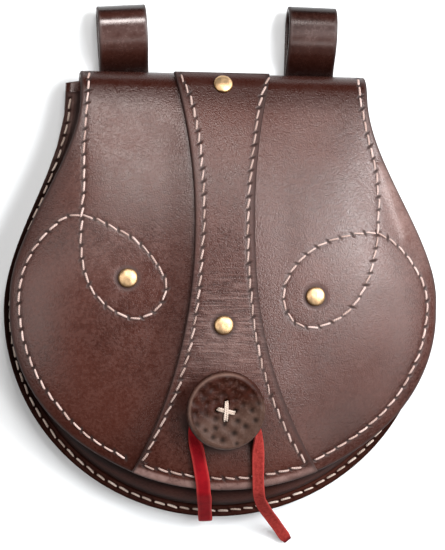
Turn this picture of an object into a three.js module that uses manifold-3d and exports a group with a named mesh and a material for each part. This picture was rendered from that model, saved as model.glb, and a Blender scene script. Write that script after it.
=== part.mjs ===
import * as THREE from "three";
import { mergeVertices } from "three/addons/utils/BufferGeometryUtils.js";
import Module from "manifold-3d";

const wasm = await Module();
wasm.setup();
const { clamp, degToRad, lerp, smoothstep } = THREE.MathUtils;

// A leather belt pouch lying on its back: X runs across it, Y from its round bottom up to its belt
// loops, and Z out of its front. Lengths are millimetres, angles degrees, and Y = 0 is its widest line.

const CLEARANCE = 0.3;
const SEAM_GAP = 0.5;
const LEATHER = { back: 2.6, front: 2.2, strip: 1.8, loop: 2.3 };

// An outline's half-width at the shoulder and at the widest line on each side, the Y between which one
// flares into the other, and the depth of the round bottom below the widest line. The hand-cut leather
// isn't quite the same on both sides.
const RIM = {
  left: { shoulder: 66, widest: 90.8 },
  right: { shoulder: 62, widest: 90.8 },
  flareTop: 90,
  flareEnd: 0,
  bottom: 87.5,
};
const FLAP = {
  left: { shoulder: 60.4, widest: 88.8 },
  right: { shoulder: 60.4, widest: 90.7 },
  flareTop: 90.4,
  flareEnd: 5,
  bottom: 74,
};
const TIP_ANGLE = 87;

// The back is flat, its margin curls up to the rim, and its top is raised over the belt loops' ends.
const BACK = {
  top: 96,
  curl: 4.5,
  curlStart: 0.77,
  curlFadeFrom: 60,
  raise: 5.2,
  raiseFrom: 38,
  raiseTo: 66,
};

// The leather turns from the back into the flap round two corners at the crest. The front corner ends
// where the leather still leans back by an angle, and the flap goes on from there.
const FOLD = { crest: 100.5, backRadius: 3.5, frontRadius: 11, frontCentreZ: 15, lean: 20.8 };
const FOLD_FRONT_Y = FOLD.crest - FOLD.frontRadius;
const FOLD_BACK_Y = FOLD.crest - FOLD.backRadius;
const FLAP_START = {
  y: FOLD_FRONT_Y + FOLD.frontRadius * Math.sin(degToRad(FOLD.lean)),
  z: FOLD.frontCentreZ + FOLD.frontRadius * Math.cos(degToRad(FOLD.lean)),
};

// The flap rises from the fold to the belly, ever less steeply, and falls towards its edge.
const FLAP_FORM = { belly: 10, top: 41, sideDrop: 12.5, bottomDrop: 9, fullDropAt: 20, power: 4 };

// The front panel's bowl: its rise at the mouth and at the belly, how soon it gets from one to the
// other, the seam's share of the rim's half-width, and how square its shoulder is.
const BOWL = { mouth: 92, mouthRise: 9.5, rise: 31.5, belly: 10, swell: 1.5, seam: 0.945, fullness: 5 };

// The strip starts below the crest. Its half-width is least at its waist and grows above and below it,
// and its lower end bends aside a little.
const STRIP = { middle: -1.1, waist: 12.5, waistY: 38.3, edgeInset: 0.8, startAngle: 30, bendPower: 3 };
const STRIP_ABOVE = { gain: 7.7, over: 60.4, power: 2, aside: 0 };
const STRIP_BELOW = { gain: 24, over: 100, power: 2.3, aside: 2.4 };

const LOOP = { width: 20.8, bend: 7.2, end: 68, leaves: 96 };
const LOOPS = [
  { name: "belt_loop_left", x: -41.1, top: 129.5, splay: 4.3 },
  { name: "belt_loop_right", x: 38.5, top: 130.8, splay: -0.9 },
];

// A rivet's cap stands on the leather and its head is inside the flap, clear of the leather's curve.
const RIVET = { capRadius: 4, capHeight: 2, postRadius: 1.4, headRadius: 3.2, headHeight: 0.7 };
const RIVETS = [
  { name: "rivet_center", x: -1.3, y: -5.2, onStrip: true, headGap: 0.4 },
  { name: "rivet_left", x: -40.8, y: 13.7, onStrip: false, headGap: 0.4 },
  { name: "rivet_right", x: 37.1, y: 7.1, onStrip: false, headGap: 0.4 },
];
const TOP_RIVET = { name: "rivet_top", x: -1.1, tilt: 25, onStrip: true, headGap: 1.1 };

const BUTTON = {
  x: -1,
  y: -38.9,
  radius: 16.2,
  thickness: 5.6,
  dish: 1.6,
  holeRadius: 0.9,
  holeCircle: 3.8,
};
const SPACER = { radius: 11, height: 6.2 };

// The lace's middle line from its caught end to its free end, with the way its flat face looks.
const LACE = { width: 5.8, thickness: 1.6, steps: 76 };
const LACE_ROUTE = [
  { x: -2.8, y: -82.2, z: 1.2, face: [0, -0.3, -1] },
  { x: -3.2, y: -85.6, z: 1.9, face: [0, -0.3, -1] },
  { x: -3.6, y: -88.3, z: 3.9, face: [0, -1, -0.7] },
  { x: -4.0, y: -88.9, z: 7.2, face: [0, -1, 0] },
  { x: -4.5, y: -88.1, z: 11.2, face: [0, -1, 0.5] },
  { x: -5.8, y: -82.6, z: 21.6, face: [0, -1, 0.5] },
  { x: -7.2, y: -77.0, z: 32.0, face: [0, -0.9, 0.6] },
  { x: -7.9, y: -74.4, z: 35.6, face: [0, -0.6, 0.9] },
  { x: -8.5, y: -70.0, z: 37.7, face: [0, -0.4, 1] },
  { x: -9.8, y: -64.0, z: 39.8, face: [0, -0.3, 1] },
  { x: -11.3, y: -57.0, z: 41.8, face: [-0.2, -0.1, 1] },
  { x: -13.0, y: -50.0, z: 44.2, face: [-0.9, 0, 0.7] },
  { x: -13.7, y: -43.0, z: 45.7, face: [-1, 0, 0] },
  { x: -12.4, y: -34.6, z: 46.0, face: [-0.94, 0.34, 0] },
  { x: -7.6, y: -28.7, z: 46.2, face: [-0.55, 0.84, 0] },
  { x: -1.0, y: -26.7, z: 46.3, face: [0, 1, 0] },
  { x: 5.6, y: -28.7, z: 46.2, face: [0.55, 0.84, 0] },
  { x: 10.4, y: -34.6, z: 46.0, face: [0.94, 0.34, 0] },
  { x: 12.1, y: -43.0, z: 45.7, face: [1, 0, 0] },
  { x: 13.3, y: -50.0, z: 44.2, face: [0.9, 0, 0.7] },
  { x: 13.8, y: -57.0, z: 41.8, face: [0.2, -0.1, 1] },
  { x: 14.2, y: -64.0, z: 39.8, face: [0, -0.3, 1] },
  { x: 14.5, y: -70.0, z: 37.7, face: [0, -0.4, 1] },
  { x: 14.8, y: -74.4, z: 35.6, face: [0, -0.6, 0.9] },
  { x: 16.0, y: -77.6, z: 31.4, face: [0.1, -0.9, 0.6] },
  { x: 19.8, y: -83.2, z: 20.8, face: [0.3, -1, 0.5] },
  { x: 24.2, y: -88.4, z: 11.6, face: [0.4, -0.8, 0.8] },
  { x: 28.4, y: -93.6, z: 5.4, face: [0.4, -0.6, 0.9] },
  { x: 32.4, y: -98.4, z: 1.3, face: [0.2, -0.3, 1] },
];

const COLOUR = {
  leather: { color: 0x5a3730, roughness: 0.45, metalness: 0 },
  loop: { color: 0x4a2c28, roughness: 0.4, metalness: 0 },
  brass: { color: 0xc9a24a, roughness: 0.25, metalness: 1 },
  button: { color: 0x3a2420, roughness: 0.4, metalness: 0 },
  lace: { color: 0xb4141c, roughness: 0.6, metalness: 0 },
};

// An outline's half-width at Y, on the side of the middle line that X is on.
function halfWidth(outline, x, y) {
  const side = x < 0 ? outline.left : outline.right;
  if (y < 0) {
    return side.widest * Math.sqrt(Math.max(0, 1 - (y / outline.bottom) ** 2));
  }
  const flare = smoothstep(outline.flareTop - y, 0, outline.flareTop - outline.flareEnd);
  return lerp(side.shoulder, side.widest, flare);
}

// How far a point lies out towards an outline: 0 on the middle line and 1 on the outline.
function reach(outline, x, y) {
  if (y < 0) {
    return Math.hypot(x / halfWidth(outline, x, 0), y / outline.bottom);
  }
  return Math.abs(x) / halfWidth(outline, x, y);
}

function insetOutline(outline, inset) {
  const inward = ({ shoulder, widest }) => ({ shoulder: shoulder - inset, widest: widest - inset });
  return {
    ...outline,
    left: inward(outline.left),
    right: inward(outline.right),
    bottom: outline.bottom - inset,
  };
}

// Height of the back's outer face, which lies on the ground.
function backHeight(x, y) {
  const margin = clamp((reach(RIM, x, y) - BACK.curlStart) / (1 - BACK.curlStart), 0, 1);
  const fade = 1 - smoothstep(y, BACK.curlFadeFrom, BACK.top);
  return BACK.curl * fade * margin ** 2 + BACK.raise * smoothstep(y, BACK.raiseFrom, BACK.raiseTo);
}

// Height of the flap's outer face.
function flapHeight(x, y) {
  const above = clamp((y - FLAP_FORM.belly) / (FLAP_START.y - FLAP_FORM.belly), 0, 1);
  const out = reach(FLAP, x, y);
  const downward = y < 0 ? (y / FLAP.bottom / out) ** 2 : 0;
  const grown = smoothstep(FLAP_START.y - y, 0, FLAP_START.y - FLAP_FORM.fullDropAt);
  const drop = lerp(FLAP_FORM.sideDrop, FLAP_FORM.bottomDrop, downward) * grown;
  return lerp(FLAP_FORM.top, FLAP_START.z, above ** 2) - drop * out ** FLAP_FORM.power;
}

// The strip's half-widths to the left and right of its own middle, held inside the flap's outline.
function stripSides(y) {
  const part = y > STRIP.waistY ? STRIP_ABOVE : STRIP_BELOW;
  const away = Math.abs(y - STRIP.waistY) / part.over;
  const flared = STRIP.waist + part.gain * away ** part.power;
  const aside = part.aside * away ** STRIP.bendPower;
  const inset = insetOutline(FLAP, STRIP.edgeInset);
  return {
    left: Math.min(flared - aside, halfWidth(inset, -1, y) + STRIP.middle),
    right: Math.min(flared + aside, halfWidth(inset, 1, y) - STRIP.middle),
  };
}

// A path moved sideways, to its left for a positive distance, with mitred corners.
function offsetPath(path, distance) {
  const normals = path.slice(1).map((p, k) => {
    const along = p.clone().sub(path[k]).normalize();
    return new THREE.Vector2(-along.y, along.x);
  });
  return path.map((p, k) => {
    const before = normals[Math.max(k - 1, 0)];
    const after = normals[Math.min(k, normals.length - 1)];
    const mitre = before.clone().add(after).divideScalar(1 + before.dot(after));
    return p.clone().addScaledVector(mitre, distance);
  });
}

function geometryFromTriangles(triangles) {
  const corners = triangles.flat().flatMap((p) => [p.x, p.y, p.z]);
  const soup = new THREE.BufferGeometry();
  soup.setAttribute("position", new THREE.Float32BufferAttribute(corners, 3));
  const merged = mergeVertices(soup, 1e-3);
  const index = [];
  for (let k = 0; k < merged.index.count; k += 3) {
    const [a, b, c] = merged.index.array.slice(k, k + 3);
    if (a !== b && b !== c && c !== a) {
      index.push(a, b, c);
    }
  }
  merged.setIndex(index);
  merged.computeVertexNormals();
  return merged;
}

// The closed shell between two grids of points. firstColumnOpen leaves the first column without a
// wall, where the shell closes on itself along a middle line.
function shellGeometry(inner, outer, firstColumnOpen = false) {
  const triangles = [];
  const quad = (a, b, c, d) => triangles.push([a, b, c], [a, c, d]);
  const lastRow = inner.length - 1;
  const lastColumn = inner[0].length - 1;
  for (let r = 0; r < lastRow; r++) {
    for (let c = 0; c < lastColumn; c++) {
      quad(inner[r][c], inner[r][c + 1], inner[r + 1][c + 1], inner[r + 1][c]);
      quad(outer[r][c], outer[r + 1][c], outer[r + 1][c + 1], outer[r][c + 1]);
    }
    quad(inner[r + 1][lastColumn], inner[r][lastColumn], outer[r][lastColumn], outer[r + 1][lastColumn]);
    if (!firstColumnOpen) {
      quad(inner[r][0], inner[r + 1][0], outer[r + 1][0], outer[r][0]);
    }
  }
  for (let c = 0; c < lastColumn; c++) {
    quad(inner[0][c + 1], inner[0][c], outer[0][c], outer[0][c + 1]);
    quad(inner[lastRow][c], inner[lastRow][c + 1], outer[lastRow][c + 1], outer[lastRow][c]);
  }
  return geometryFromTriangles(triangles);
}

function solidOf(geometry) {
  const bare = geometry.clone();
  bare.deleteAttribute("normal");
  bare.deleteAttribute("uv");
  const merged = mergeVertices(bare, 1e-3);
  const vertProperties = merged.attributes.position.array;
  const triVerts = new Uint32Array(merged.index.array);
  return new wasm.Manifold(new wasm.Mesh({ numProp: 3, vertProperties, triVerts }));
}

// A geometry with holes drilled through it.
function drilled(geometry, drills) {
  const solid = drills.reduce((left, drill) => left.subtract(solidOf(drill)), solidOf(geometry));
  const mesh = solid.getMesh();
  const result = new THREE.BufferGeometry();
  result.setAttribute("position", new THREE.BufferAttribute(mesh.vertProperties, 3));
  result.setIndex(new THREE.BufferAttribute(mesh.triVerts, 1));
  result.computeVertexNormals();
  return result;
}

function meshOf(name, geometry, look) {
  const mesh = new THREE.Mesh(geometry, new THREE.MeshStandardMaterial(look));
  mesh.name = name;
  return mesh;
}

// One row across a piece: its Y, how far it goes to the left and right, its height on the middle line,
// and its change of height beside that line.
function rowAt(y, sides, heightAt) {
  const z = heightAt(0, y);
  return { y, ...sides, z, lift: (x) => heightAt(x, y) - z };
}

// Rows of an outline: the given ones above its widest line, then those of its round bottom to its tip.
function outlineRows(outline, sideStations, heightAt) {
  const bottomSteps = 12;
  const bottom = Array.from({ length: bottomSteps + 1 }, (_, k) => {
    const angle = degToRad(lerp(0, TIP_ANGLE, k / bottomSteps));
    return -outline.bottom * Math.sin(angle);
  });
  return [...sideStations, ...bottom].map((y) => {
    const sides = { left: halfWidth(outline, -1, y), right: halfWidth(outline, 1, y) };
    return rowAt(y, sides, heightAt);
  });
}

// Rows round one corner of the fold, from one angle to the next, measured from +Y towards +Z.
function cornerRows(radius, centreY, centreZ, from, to, steps) {
  return Array.from({ length: steps + 1 }, (_, k) => {
    const angle = degToRad(lerp(from, to, k / steps));
    return {
      y: centreY + radius * Math.cos(angle),
      z: centreZ + radius * Math.sin(angle),
      left: FLAP.left.shoulder,
      right: FLAP.right.shoulder,
      lift: () => 0,
    };
  });
}

// A grid of points across rows: each row runs from its left to its right end, on the path given for it.
function gridAcross(rows, path, across, middle = 0) {
  return rows.map((row, k) =>
    across.map((u) => {
      const x = middle + u * (u < 0 ? row.left : row.right);
      return new THREE.Vector3(x, path[k].x, path[k].y + row.lift(x));
    }),
  );
}

const mirrored = (half) => [...half.slice(1).map((u) => -u).reverse(), ...half];
const pathOf = (rows) => rows.map((row) => new THREE.Vector2(row.y, row.z));

// The back and the front panel share these rows, so that they meet along the sides.
const sideStations = Array.from({ length: 10 }, (_, k) => BOWL.mouth * (1 - k / 10));
const backRows = outlineRows(RIM, [BACK.top, ...sideStations], backHeight).reverse();
const backCorner = cornerRows(FOLD.backRadius, FOLD_BACK_Y, BACK.raise + FOLD.backRadius, -90, 0, 4);
const frontCornerEnd = (90 - FOLD.lean) * 0.83;
const frontCorner = (from) =>
  cornerRows(FOLD.frontRadius, FOLD_FRONT_Y, FOLD.frontCentreZ, from, frontCornerEnd, 5);
const flapRows = outlineRows(FLAP, [FLAP_START.y, ...sideStations.slice(1)], flapHeight);

// A place on the flap and the way it faces, with the axis along which a rivet or button stands.
function flapFrame(x, y) {
  const step = 0.5;
  const slopeX = (flapHeight(x + step, y) - flapHeight(x - step, y)) / (2 * step);
  const slopeY = (flapHeight(x, y + step) - flapHeight(x, y - step)) / (2 * step);
  return {
    origin: new THREE.Vector3(x, y, flapHeight(x, y)),
    normal: new THREE.Vector3(-slopeX, -slopeY, 1).normalize(),
  };
}

function foldFrame(x, tilt) {
  const normal = new THREE.Vector3(0, Math.sin(degToRad(tilt)), Math.cos(degToRad(tilt)));
  const centre = new THREE.Vector3(x, FOLD_FRONT_Y, FOLD.frontCentreZ);
  return { origin: centre.addScaledVector(normal, FOLD.frontRadius), normal };
}

// Stands an object on a frame, its own Y along the frame's normal, at a height over the flap.
function standOn(object, { origin, normal }, height) {
  object.position.copy(origin).addScaledVector(normal, height);
  object.quaternion.setFromUnitVectors(new THREE.Vector3(0, 1, 0), normal);
  object.updateMatrix();
  return object;
}

const stripFace = CLEARANCE + LEATHER.strip;
const rivets = [
  { ...TOP_RIVET, frame: foldFrame(TOP_RIVET.x, TOP_RIVET.tilt) },
  ...RIVETS.map((rivet) => ({ ...rivet, frame: flapFrame(rivet.x, rivet.y) })),
];

function rivetDrill({ frame }) {
  const hole = new THREE.Object3D();
  standOn(hole, frame, 0);
  const reachThrough = 12;
  const radius = RIVET.postRadius + CLEARANCE;
  return new THREE.CylinderGeometry(radius, radius, reachThrough, 12).applyMatrix4(hole.matrix);
}

function backAndFlap() {
  const rows = [...backRows, ...backCorner, ...frontCorner(0), ...flapRows];
  const across = mirrored([0, 0.2, 0.38, 0.54, 0.68, 0.79, 0.88, 0.95, 1]);
  const outerPath = pathOf(rows);
  const outer = gridAcross(rows, outerPath, across);
  const inner = gridAcross(rows, offsetPath(outerPath, LEATHER.back), across);
  const leather = drilled(shellGeometry(inner, outer), rivets.map(rivetDrill));
  return meshOf("back_and_flap", leather, COLOUR.leather);
}

function centerStrip() {
  const lowest = 0.1 - FLAP.bottom + STRIP.edgeInset;
  const rows = [
    ...frontCorner(STRIP.startAngle).map((row) => ({ ...row, ...stripSides(row.y) })),
    ...flapRows.map(({ y }) => Math.max(y, lowest)).map((y) => rowAt(y, stripSides(y), flapHeight)),
  ];
  const across = mirrored([0, 0.3, 0.58, 0.82, 1]);
  const path = pathOf(rows);
  const outer = gridAcross(rows, offsetPath(path, -stripFace), across, STRIP.middle);
  const inner = gridAcross(rows, offsetPath(path, -CLEARANCE), across, STRIP.middle);
  const drills = rivets.filter((rivet) => rivet.onStrip).map(rivetDrill);
  const leather = drilled(shellGeometry(inner, outer), drills);
  return meshOf("center_strip", leather, COLOUR.leather);
}

// The front panel is made of rays: across from the middle line above the widest line, and fanned round
// the middle of the widest line below it.
function frontPanelRays() {
  const fanSteps = 26;
  const across = (y, sign) => ({ startY: y, dx: sign * halfWidth(RIM, sign, y), dy: 0 });
  const fan = Array.from({ length: fanSteps + 1 }, (_, k) => {
    const angle = (Math.PI * k) / fanSteps;
    const dx = halfWidth(RIM, Math.cos(angle), 0) * Math.cos(angle);
    return { startY: 0, dx, dy: -RIM.bottom * Math.sin(angle) };
  });
  const right = sideStations.map((y) => across(y, 1));
  const left = sideStations.map((y) => across(y, -1)).reverse();
  return [...right, ...fan, ...left];
}

function frontPanel() {
  const wallSteps = 8;
  const seat = LEATHER.back + SEAM_GAP + LEATHER.front;
  const outer = [];
  const inner = [];
  for (const { startY, dx, dy } of frontPanelRays()) {
    const length = Math.hypot(dx, dy);
    const above = clamp((startY - BOWL.belly) / (BOWL.mouth - BOWL.belly), 0, 1);
    const rise = lerp(BOWL.rise, BOWL.mouthRise, above ** BOWL.swell);
    const station = (out, height) => new THREE.Vector2(out * length, seat + height);
    const path = [];
    for (let k = 0; k <= wallSteps; k++) {
      const turn = (Math.PI / 2) * (k / wallSteps);
      path.push(station(BOWL.seam * Math.sin(turn) ** (2 / BOWL.fullness), rise * Math.cos(turn)));
    }
    path.push(station((BOWL.seam + 1) / 2, 0), station(1, 0));
    const place = (p) => {
      const x = (p.x / length) * dx;
      const y = startY + (p.x / length) * dy;
      return new THREE.Vector3(x, y, p.y + backHeight(x, y));
    };
    const underside = offsetPath(path, -LEATHER.front);
    underside[0].set(0, path[0].y - LEATHER.front);
    outer.push(path.map(place));
    inner.push(underside.map(place));
  }
  return meshOf("front_panel", shellGeometry(inner, outer, true), COLOUR.leather);
}

// A belt loop's strap seen from its side: the layer on the ground, the bend at the top, and the layer
// that comes back down to the pouch and lies on the first.
function loopPath(top) {
  const half = LEATHER.loop / 2;
  const upper = LEATHER.loop + CLEARANCE + half;
  const bendRadius = LOOP.bend - half;
  const bendY = top - LOOP.bend;
  const path = [new THREE.Vector2(LOOP.end, half)];
  const bendSteps = 10;
  for (let k = 0; k <= bendSteps; k++) {
    const angle = lerp(-Math.PI / 2, Math.PI / 2, k / bendSteps);
    const y = bendY + bendRadius * Math.cos(angle);
    const z = LOOP.bend + bendRadius * Math.sin(angle);
    path.push(new THREE.Vector2(y, z));
  }
  const pull = (bendY - LOOP.leaves) / 2;
  const down = new THREE.CubicBezierCurve(
    new THREE.Vector2(bendY, LOOP.bend + bendRadius),
    new THREE.Vector2(bendY - pull, LOOP.bend + bendRadius),
    new THREE.Vector2(LOOP.leaves + pull, upper),
    new THREE.Vector2(LOOP.leaves, upper),
  );
  path.push(...down.getPoints(8).slice(1), new THREE.Vector2(LOOP.end, upper));
  return path;
}

function beltLoop({ name, x, top, splay }) {
  const path = loopPath(top);
  const half = LEATHER.loop / 2;
  const outline = [...offsetPath(path, -half), ...offsetPath(path, half).reverse()];
  const extrusion = { depth: LOOP.width, bevelEnabled: false };
  const geometry = new THREE.ExtrudeGeometry(new THREE.Shape(outline), extrusion);
  geometry.translate(-FOLD.crest, 0, -LOOP.width / 2);
  const strap = meshOf(name, geometry, COLOUR.loop);
  const sideways = new THREE.Matrix4().makeBasis(
    new THREE.Vector3(0, 1, 0),
    new THREE.Vector3(0, 0, 1),
    new THREE.Vector3(1, 0, 0),
  );
  strap.quaternion.setFromRotationMatrix(sideways);
  const place = new THREE.Group();
  place.position.set(x, FOLD.crest, 0);
  place.rotation.z = degToRad(splay);
  place.add(strap);
  return place;
}

function rivet({ name, onStrip, headGap, frame }) {
  const seat = onStrip ? stripFace : 0;
  const back = -(seat + LEATHER.back + headGap);
  const profile = [
    new THREE.Vector2(0, back - RIVET.headHeight),
    new THREE.Vector2(RIVET.headRadius, back - RIVET.headHeight),
    new THREE.Vector2(RIVET.headRadius, back),
    new THREE.Vector2(RIVET.postRadius, back),
    new THREE.Vector2(RIVET.postRadius, CLEARANCE),
    new THREE.Vector2(RIVET.capRadius, CLEARANCE),
  ];
  const domeSteps = 5;
  for (let k = 1; k <= domeSteps; k++) {
    const turn = (Math.PI / 2) * (k / domeSteps);
    const edge = 2 * CLEARANCE;
    const height = edge + (RIVET.capHeight - edge) * Math.sin(turn);
    profile.push(new THREE.Vector2(RIVET.capRadius * Math.cos(turn), height));
  }
  profile[profile.length - 1].x = 0;
  return standOn(meshOf(name, new THREE.LatheGeometry(profile, 20), COLOUR.brass), frame, seat);
}

function buttonSpacer(frame) {
  const geometry = new THREE.CylinderGeometry(SPACER.radius, SPACER.radius, SPACER.height, 24);
  const height = stripFace + CLEARANCE + SPACER.height / 2;
  return standOn(meshOf("button_spacer", geometry, COLOUR.leather), frame, height);
}

function button(frame) {
  const { radius, thickness, dish, holeRadius, holeCircle } = BUTTON;
  const rimTop = 0.86 * radius;
  const profile = [
    new THREE.Vector2(0, 0),
    new THREE.Vector2(0.84 * radius, 0),
    new THREE.Vector2(0.95 * radius, 0.12 * thickness),
    new THREE.Vector2(radius, 0.42 * thickness),
    new THREE.Vector2(0.98 * radius, 0.74 * thickness),
    new THREE.Vector2(0.93 * radius, 0.94 * thickness),
    new THREE.Vector2(rimTop, thickness),
  ];
  const dishSteps = 5;
  for (let k = 1; k <= dishSteps; k++) {
    const out = 1 - k / dishSteps;
    profile.push(new THREE.Vector2(rimTop * out, thickness - dish * (1 - out ** 2)));
  }
  const holes = [0, 1, 2, 3].map((k) => {
    const angle = (Math.PI / 2) * k;
    return new THREE.CylinderGeometry(holeRadius, holeRadius, 3 * thickness, 8).translate(
      holeCircle * Math.cos(angle),
      0,
      holeCircle * Math.sin(angle),
    );
  });
  const geometry = drilled(new THREE.LatheGeometry(profile, 32), holes);
  const height = stripFace + SPACER.height + 2 * CLEARANCE;
  return standOn(meshOf("button", geometry, COLOUR.button), frame, height);
}

// The lace is a flat band with rounded edges, swept along its route, its face turned as the route says.
function lace() {
  const points = LACE_ROUTE.map(({ x, y, z }) => new THREE.Vector3(x, y, z));
  const directions = LACE_ROUTE.map(({ face }) => new THREE.Vector3(...face));
  const middle = new THREE.CatmullRomCurve3(points);
  const faces = new THREE.CatmullRomCurve3(directions);
  const halfWide = LACE.width / 2;
  const halfThick = LACE.thickness / 2;
  const edge = 0.6;
  const section = [
    [halfWide - halfThick * edge, -halfThick],
    [halfThick * edge - halfWide, -halfThick],
    [-halfWide, -halfThick * edge],
    [-halfWide, halfThick * edge],
    [halfThick * edge - halfWide, halfThick],
    [halfWide - halfThick * edge, halfThick],
    [halfWide, halfThick * edge],
    [halfWide, -halfThick * edge],
  ];
  const rings = [];
  for (let k = 0; k <= LACE.steps; k++) {
    const t = k / LACE.steps;
    const along = middle.getTangent(t);
    const face = faces.getPoint(t);
    face.addScaledVector(along, -face.dot(along)).normalize();
    const sideways = new THREE.Vector3().crossVectors(along, face);
    rings.push(
      section.map(([across, up]) =>
        middle.getPoint(t).addScaledVector(sideways, across).addScaledVector(face, up),
      ),
    );
  }
  const triangles = [];
  const sides = section.length;
  for (let k = 0; k < LACE.steps; k++) {
    for (let s = 0; s < sides; s++) {
      const next = (s + 1) % sides;
      const [a, b, c, d] = [rings[k][s], rings[k][next], rings[k + 1][next], rings[k + 1][s]];
      triangles.push([a, b, c], [a, c, d]);
    }
  }
  const last = rings[LACE.steps];
  for (let s = 1; s < sides - 1; s++) {
    triangles.push([rings[0][0], rings[0][s + 1], rings[0][s]], [last[0], last[s], last[s + 1]]);
  }
  return meshOf("lace", geometryFromTriangles(triangles), COLOUR.lace);
}

const buttonFrame = flapFrame(BUTTON.x, BUTTON.y);
const body = new THREE.Group();
body.add(
  backAndFlap(),
  frontPanel(),
  centerStrip(),
  ...LOOPS.map(beltLoop),
  ...rivets.map(rivet),
  buttonSpacer(buttonFrame),
  button(buttonFrame),
  lace(),
);

// The origin is on the ground, midway between the bottom rim and the top of the splayed belt loops.
const loopReach = LOOPS.map(({ top, splay }) => {
  const turn = degToRad(Math.abs(splay));
  return (top - FOLD.crest) * Math.cos(turn) + (LOOP.width / 2) * Math.sin(turn);
});
body.position.y = (RIM.bottom - FOLD.crest - Math.max(...loopReach)) / 2;
const pouch = new THREE.Group();
pouch.add(body);

export default pouch;
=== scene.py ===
import bmesh
import bpy
import numpy as np
from mathutils import Matrix


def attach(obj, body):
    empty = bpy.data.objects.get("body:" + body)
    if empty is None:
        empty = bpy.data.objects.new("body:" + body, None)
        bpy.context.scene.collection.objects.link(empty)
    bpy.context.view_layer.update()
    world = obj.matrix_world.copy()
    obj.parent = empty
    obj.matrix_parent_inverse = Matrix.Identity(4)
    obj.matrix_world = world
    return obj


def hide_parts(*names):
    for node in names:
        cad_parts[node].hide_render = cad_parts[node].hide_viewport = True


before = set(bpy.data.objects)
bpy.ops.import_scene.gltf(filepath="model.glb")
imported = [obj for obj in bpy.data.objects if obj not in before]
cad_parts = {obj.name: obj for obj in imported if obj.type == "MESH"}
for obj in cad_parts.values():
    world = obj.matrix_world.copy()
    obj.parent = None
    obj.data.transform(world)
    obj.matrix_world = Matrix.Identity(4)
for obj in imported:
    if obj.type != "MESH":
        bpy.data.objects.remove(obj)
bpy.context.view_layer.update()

# A leather belt pouch lying on its back. Its shapes are worked out in millimetres, with x across,
# y from the round bottom up to the belt loops, y = 0 on the widest line, and z out of the front.
widestLine = -21.72981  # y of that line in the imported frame
millimetre = 0.001
tiny = 1e-6  # keeps a length that is divided by off zero
scene = bpy.context.scene


def toMetres(points):
    return (np.asarray(points, float) + (0.0, widestLine, 0.0)) * millimetre


def smoothStep(x, low, high):  # 0 below low, 1 above high, 3t^2 - 2t^3 between them
    t = np.clip((x - low) / (high - low), 0.0, 1.0)
    return t * t * (3.0 - 2.0 * t)


def fall(x, low, high):  # 1 below low, 0 above high
    return 1.0 - smoothStep(x, low, high)


def mix(a, b, t):
    return a + (b - a) * t


def bell(x, width):  # 1 at x = 0, falling off as exp(-(x / width)^2)
    return np.exp(-((x / width) ** 2))


def unit(v):
    return v / np.maximum(np.linalg.norm(v, axis=-1, keepdims=True), tiny)


def spread(column, count):  # a column of values, repeated across a grid
    return np.repeat(column[:, None], count, 1)


def around(count):  # angles of a full turn
    return np.linspace(0.0, 2 * np.pi, count, endpoint=False)


cameraSet = {
    "aim": (-0.62, 15.42, 30.0),  # mm, in the middle of the picture
    "distance": 900.0,
    "sideTilt": 6.5,  # degrees towards -x
    "roll": 0.8,
    "fieldHeight": 229.2,  # mm at the aim
    "sensor": 36.0,
}


def newObject(name, data):
    made = bpy.data.objects.new(name, data)
    scene.collection.objects.link(made)
    return made


def turnTo(item, right, top, back, at):  # puts a camera or a light in its place, looking along -back
    pose = Matrix(np.stack([right, top, back], 1).tolist()).to_4x4()
    pose.translation = at
    item.matrix_world = pose


def makeCamera(s):
    tilt, roll = np.radians(s["sideTilt"]), np.radians(s["roll"])
    back = np.array([-np.sin(tilt), 0.0, np.cos(tilt)])
    level = np.array([np.cos(tilt), 0.0, np.sin(tilt)])
    up = np.array([0.0, 1.0, 0.0])
    right = level * np.cos(roll) + up * np.sin(roll)
    top = up * np.cos(roll) - level * np.sin(roll)
    data = bpy.data.cameras.new("camera")
    data.sensor_width = s["sensor"]
    data.lens = s["sensor"] * s["distance"] / s["fieldHeight"]
    camera = newObject("camera", data)
    turnTo(camera, right, top, back, toMetres(np.array(s["aim"]) + s["distance"] * back))
    scene.camera = camera


makeCamera(cameraSet)
print("camera placed")


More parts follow.
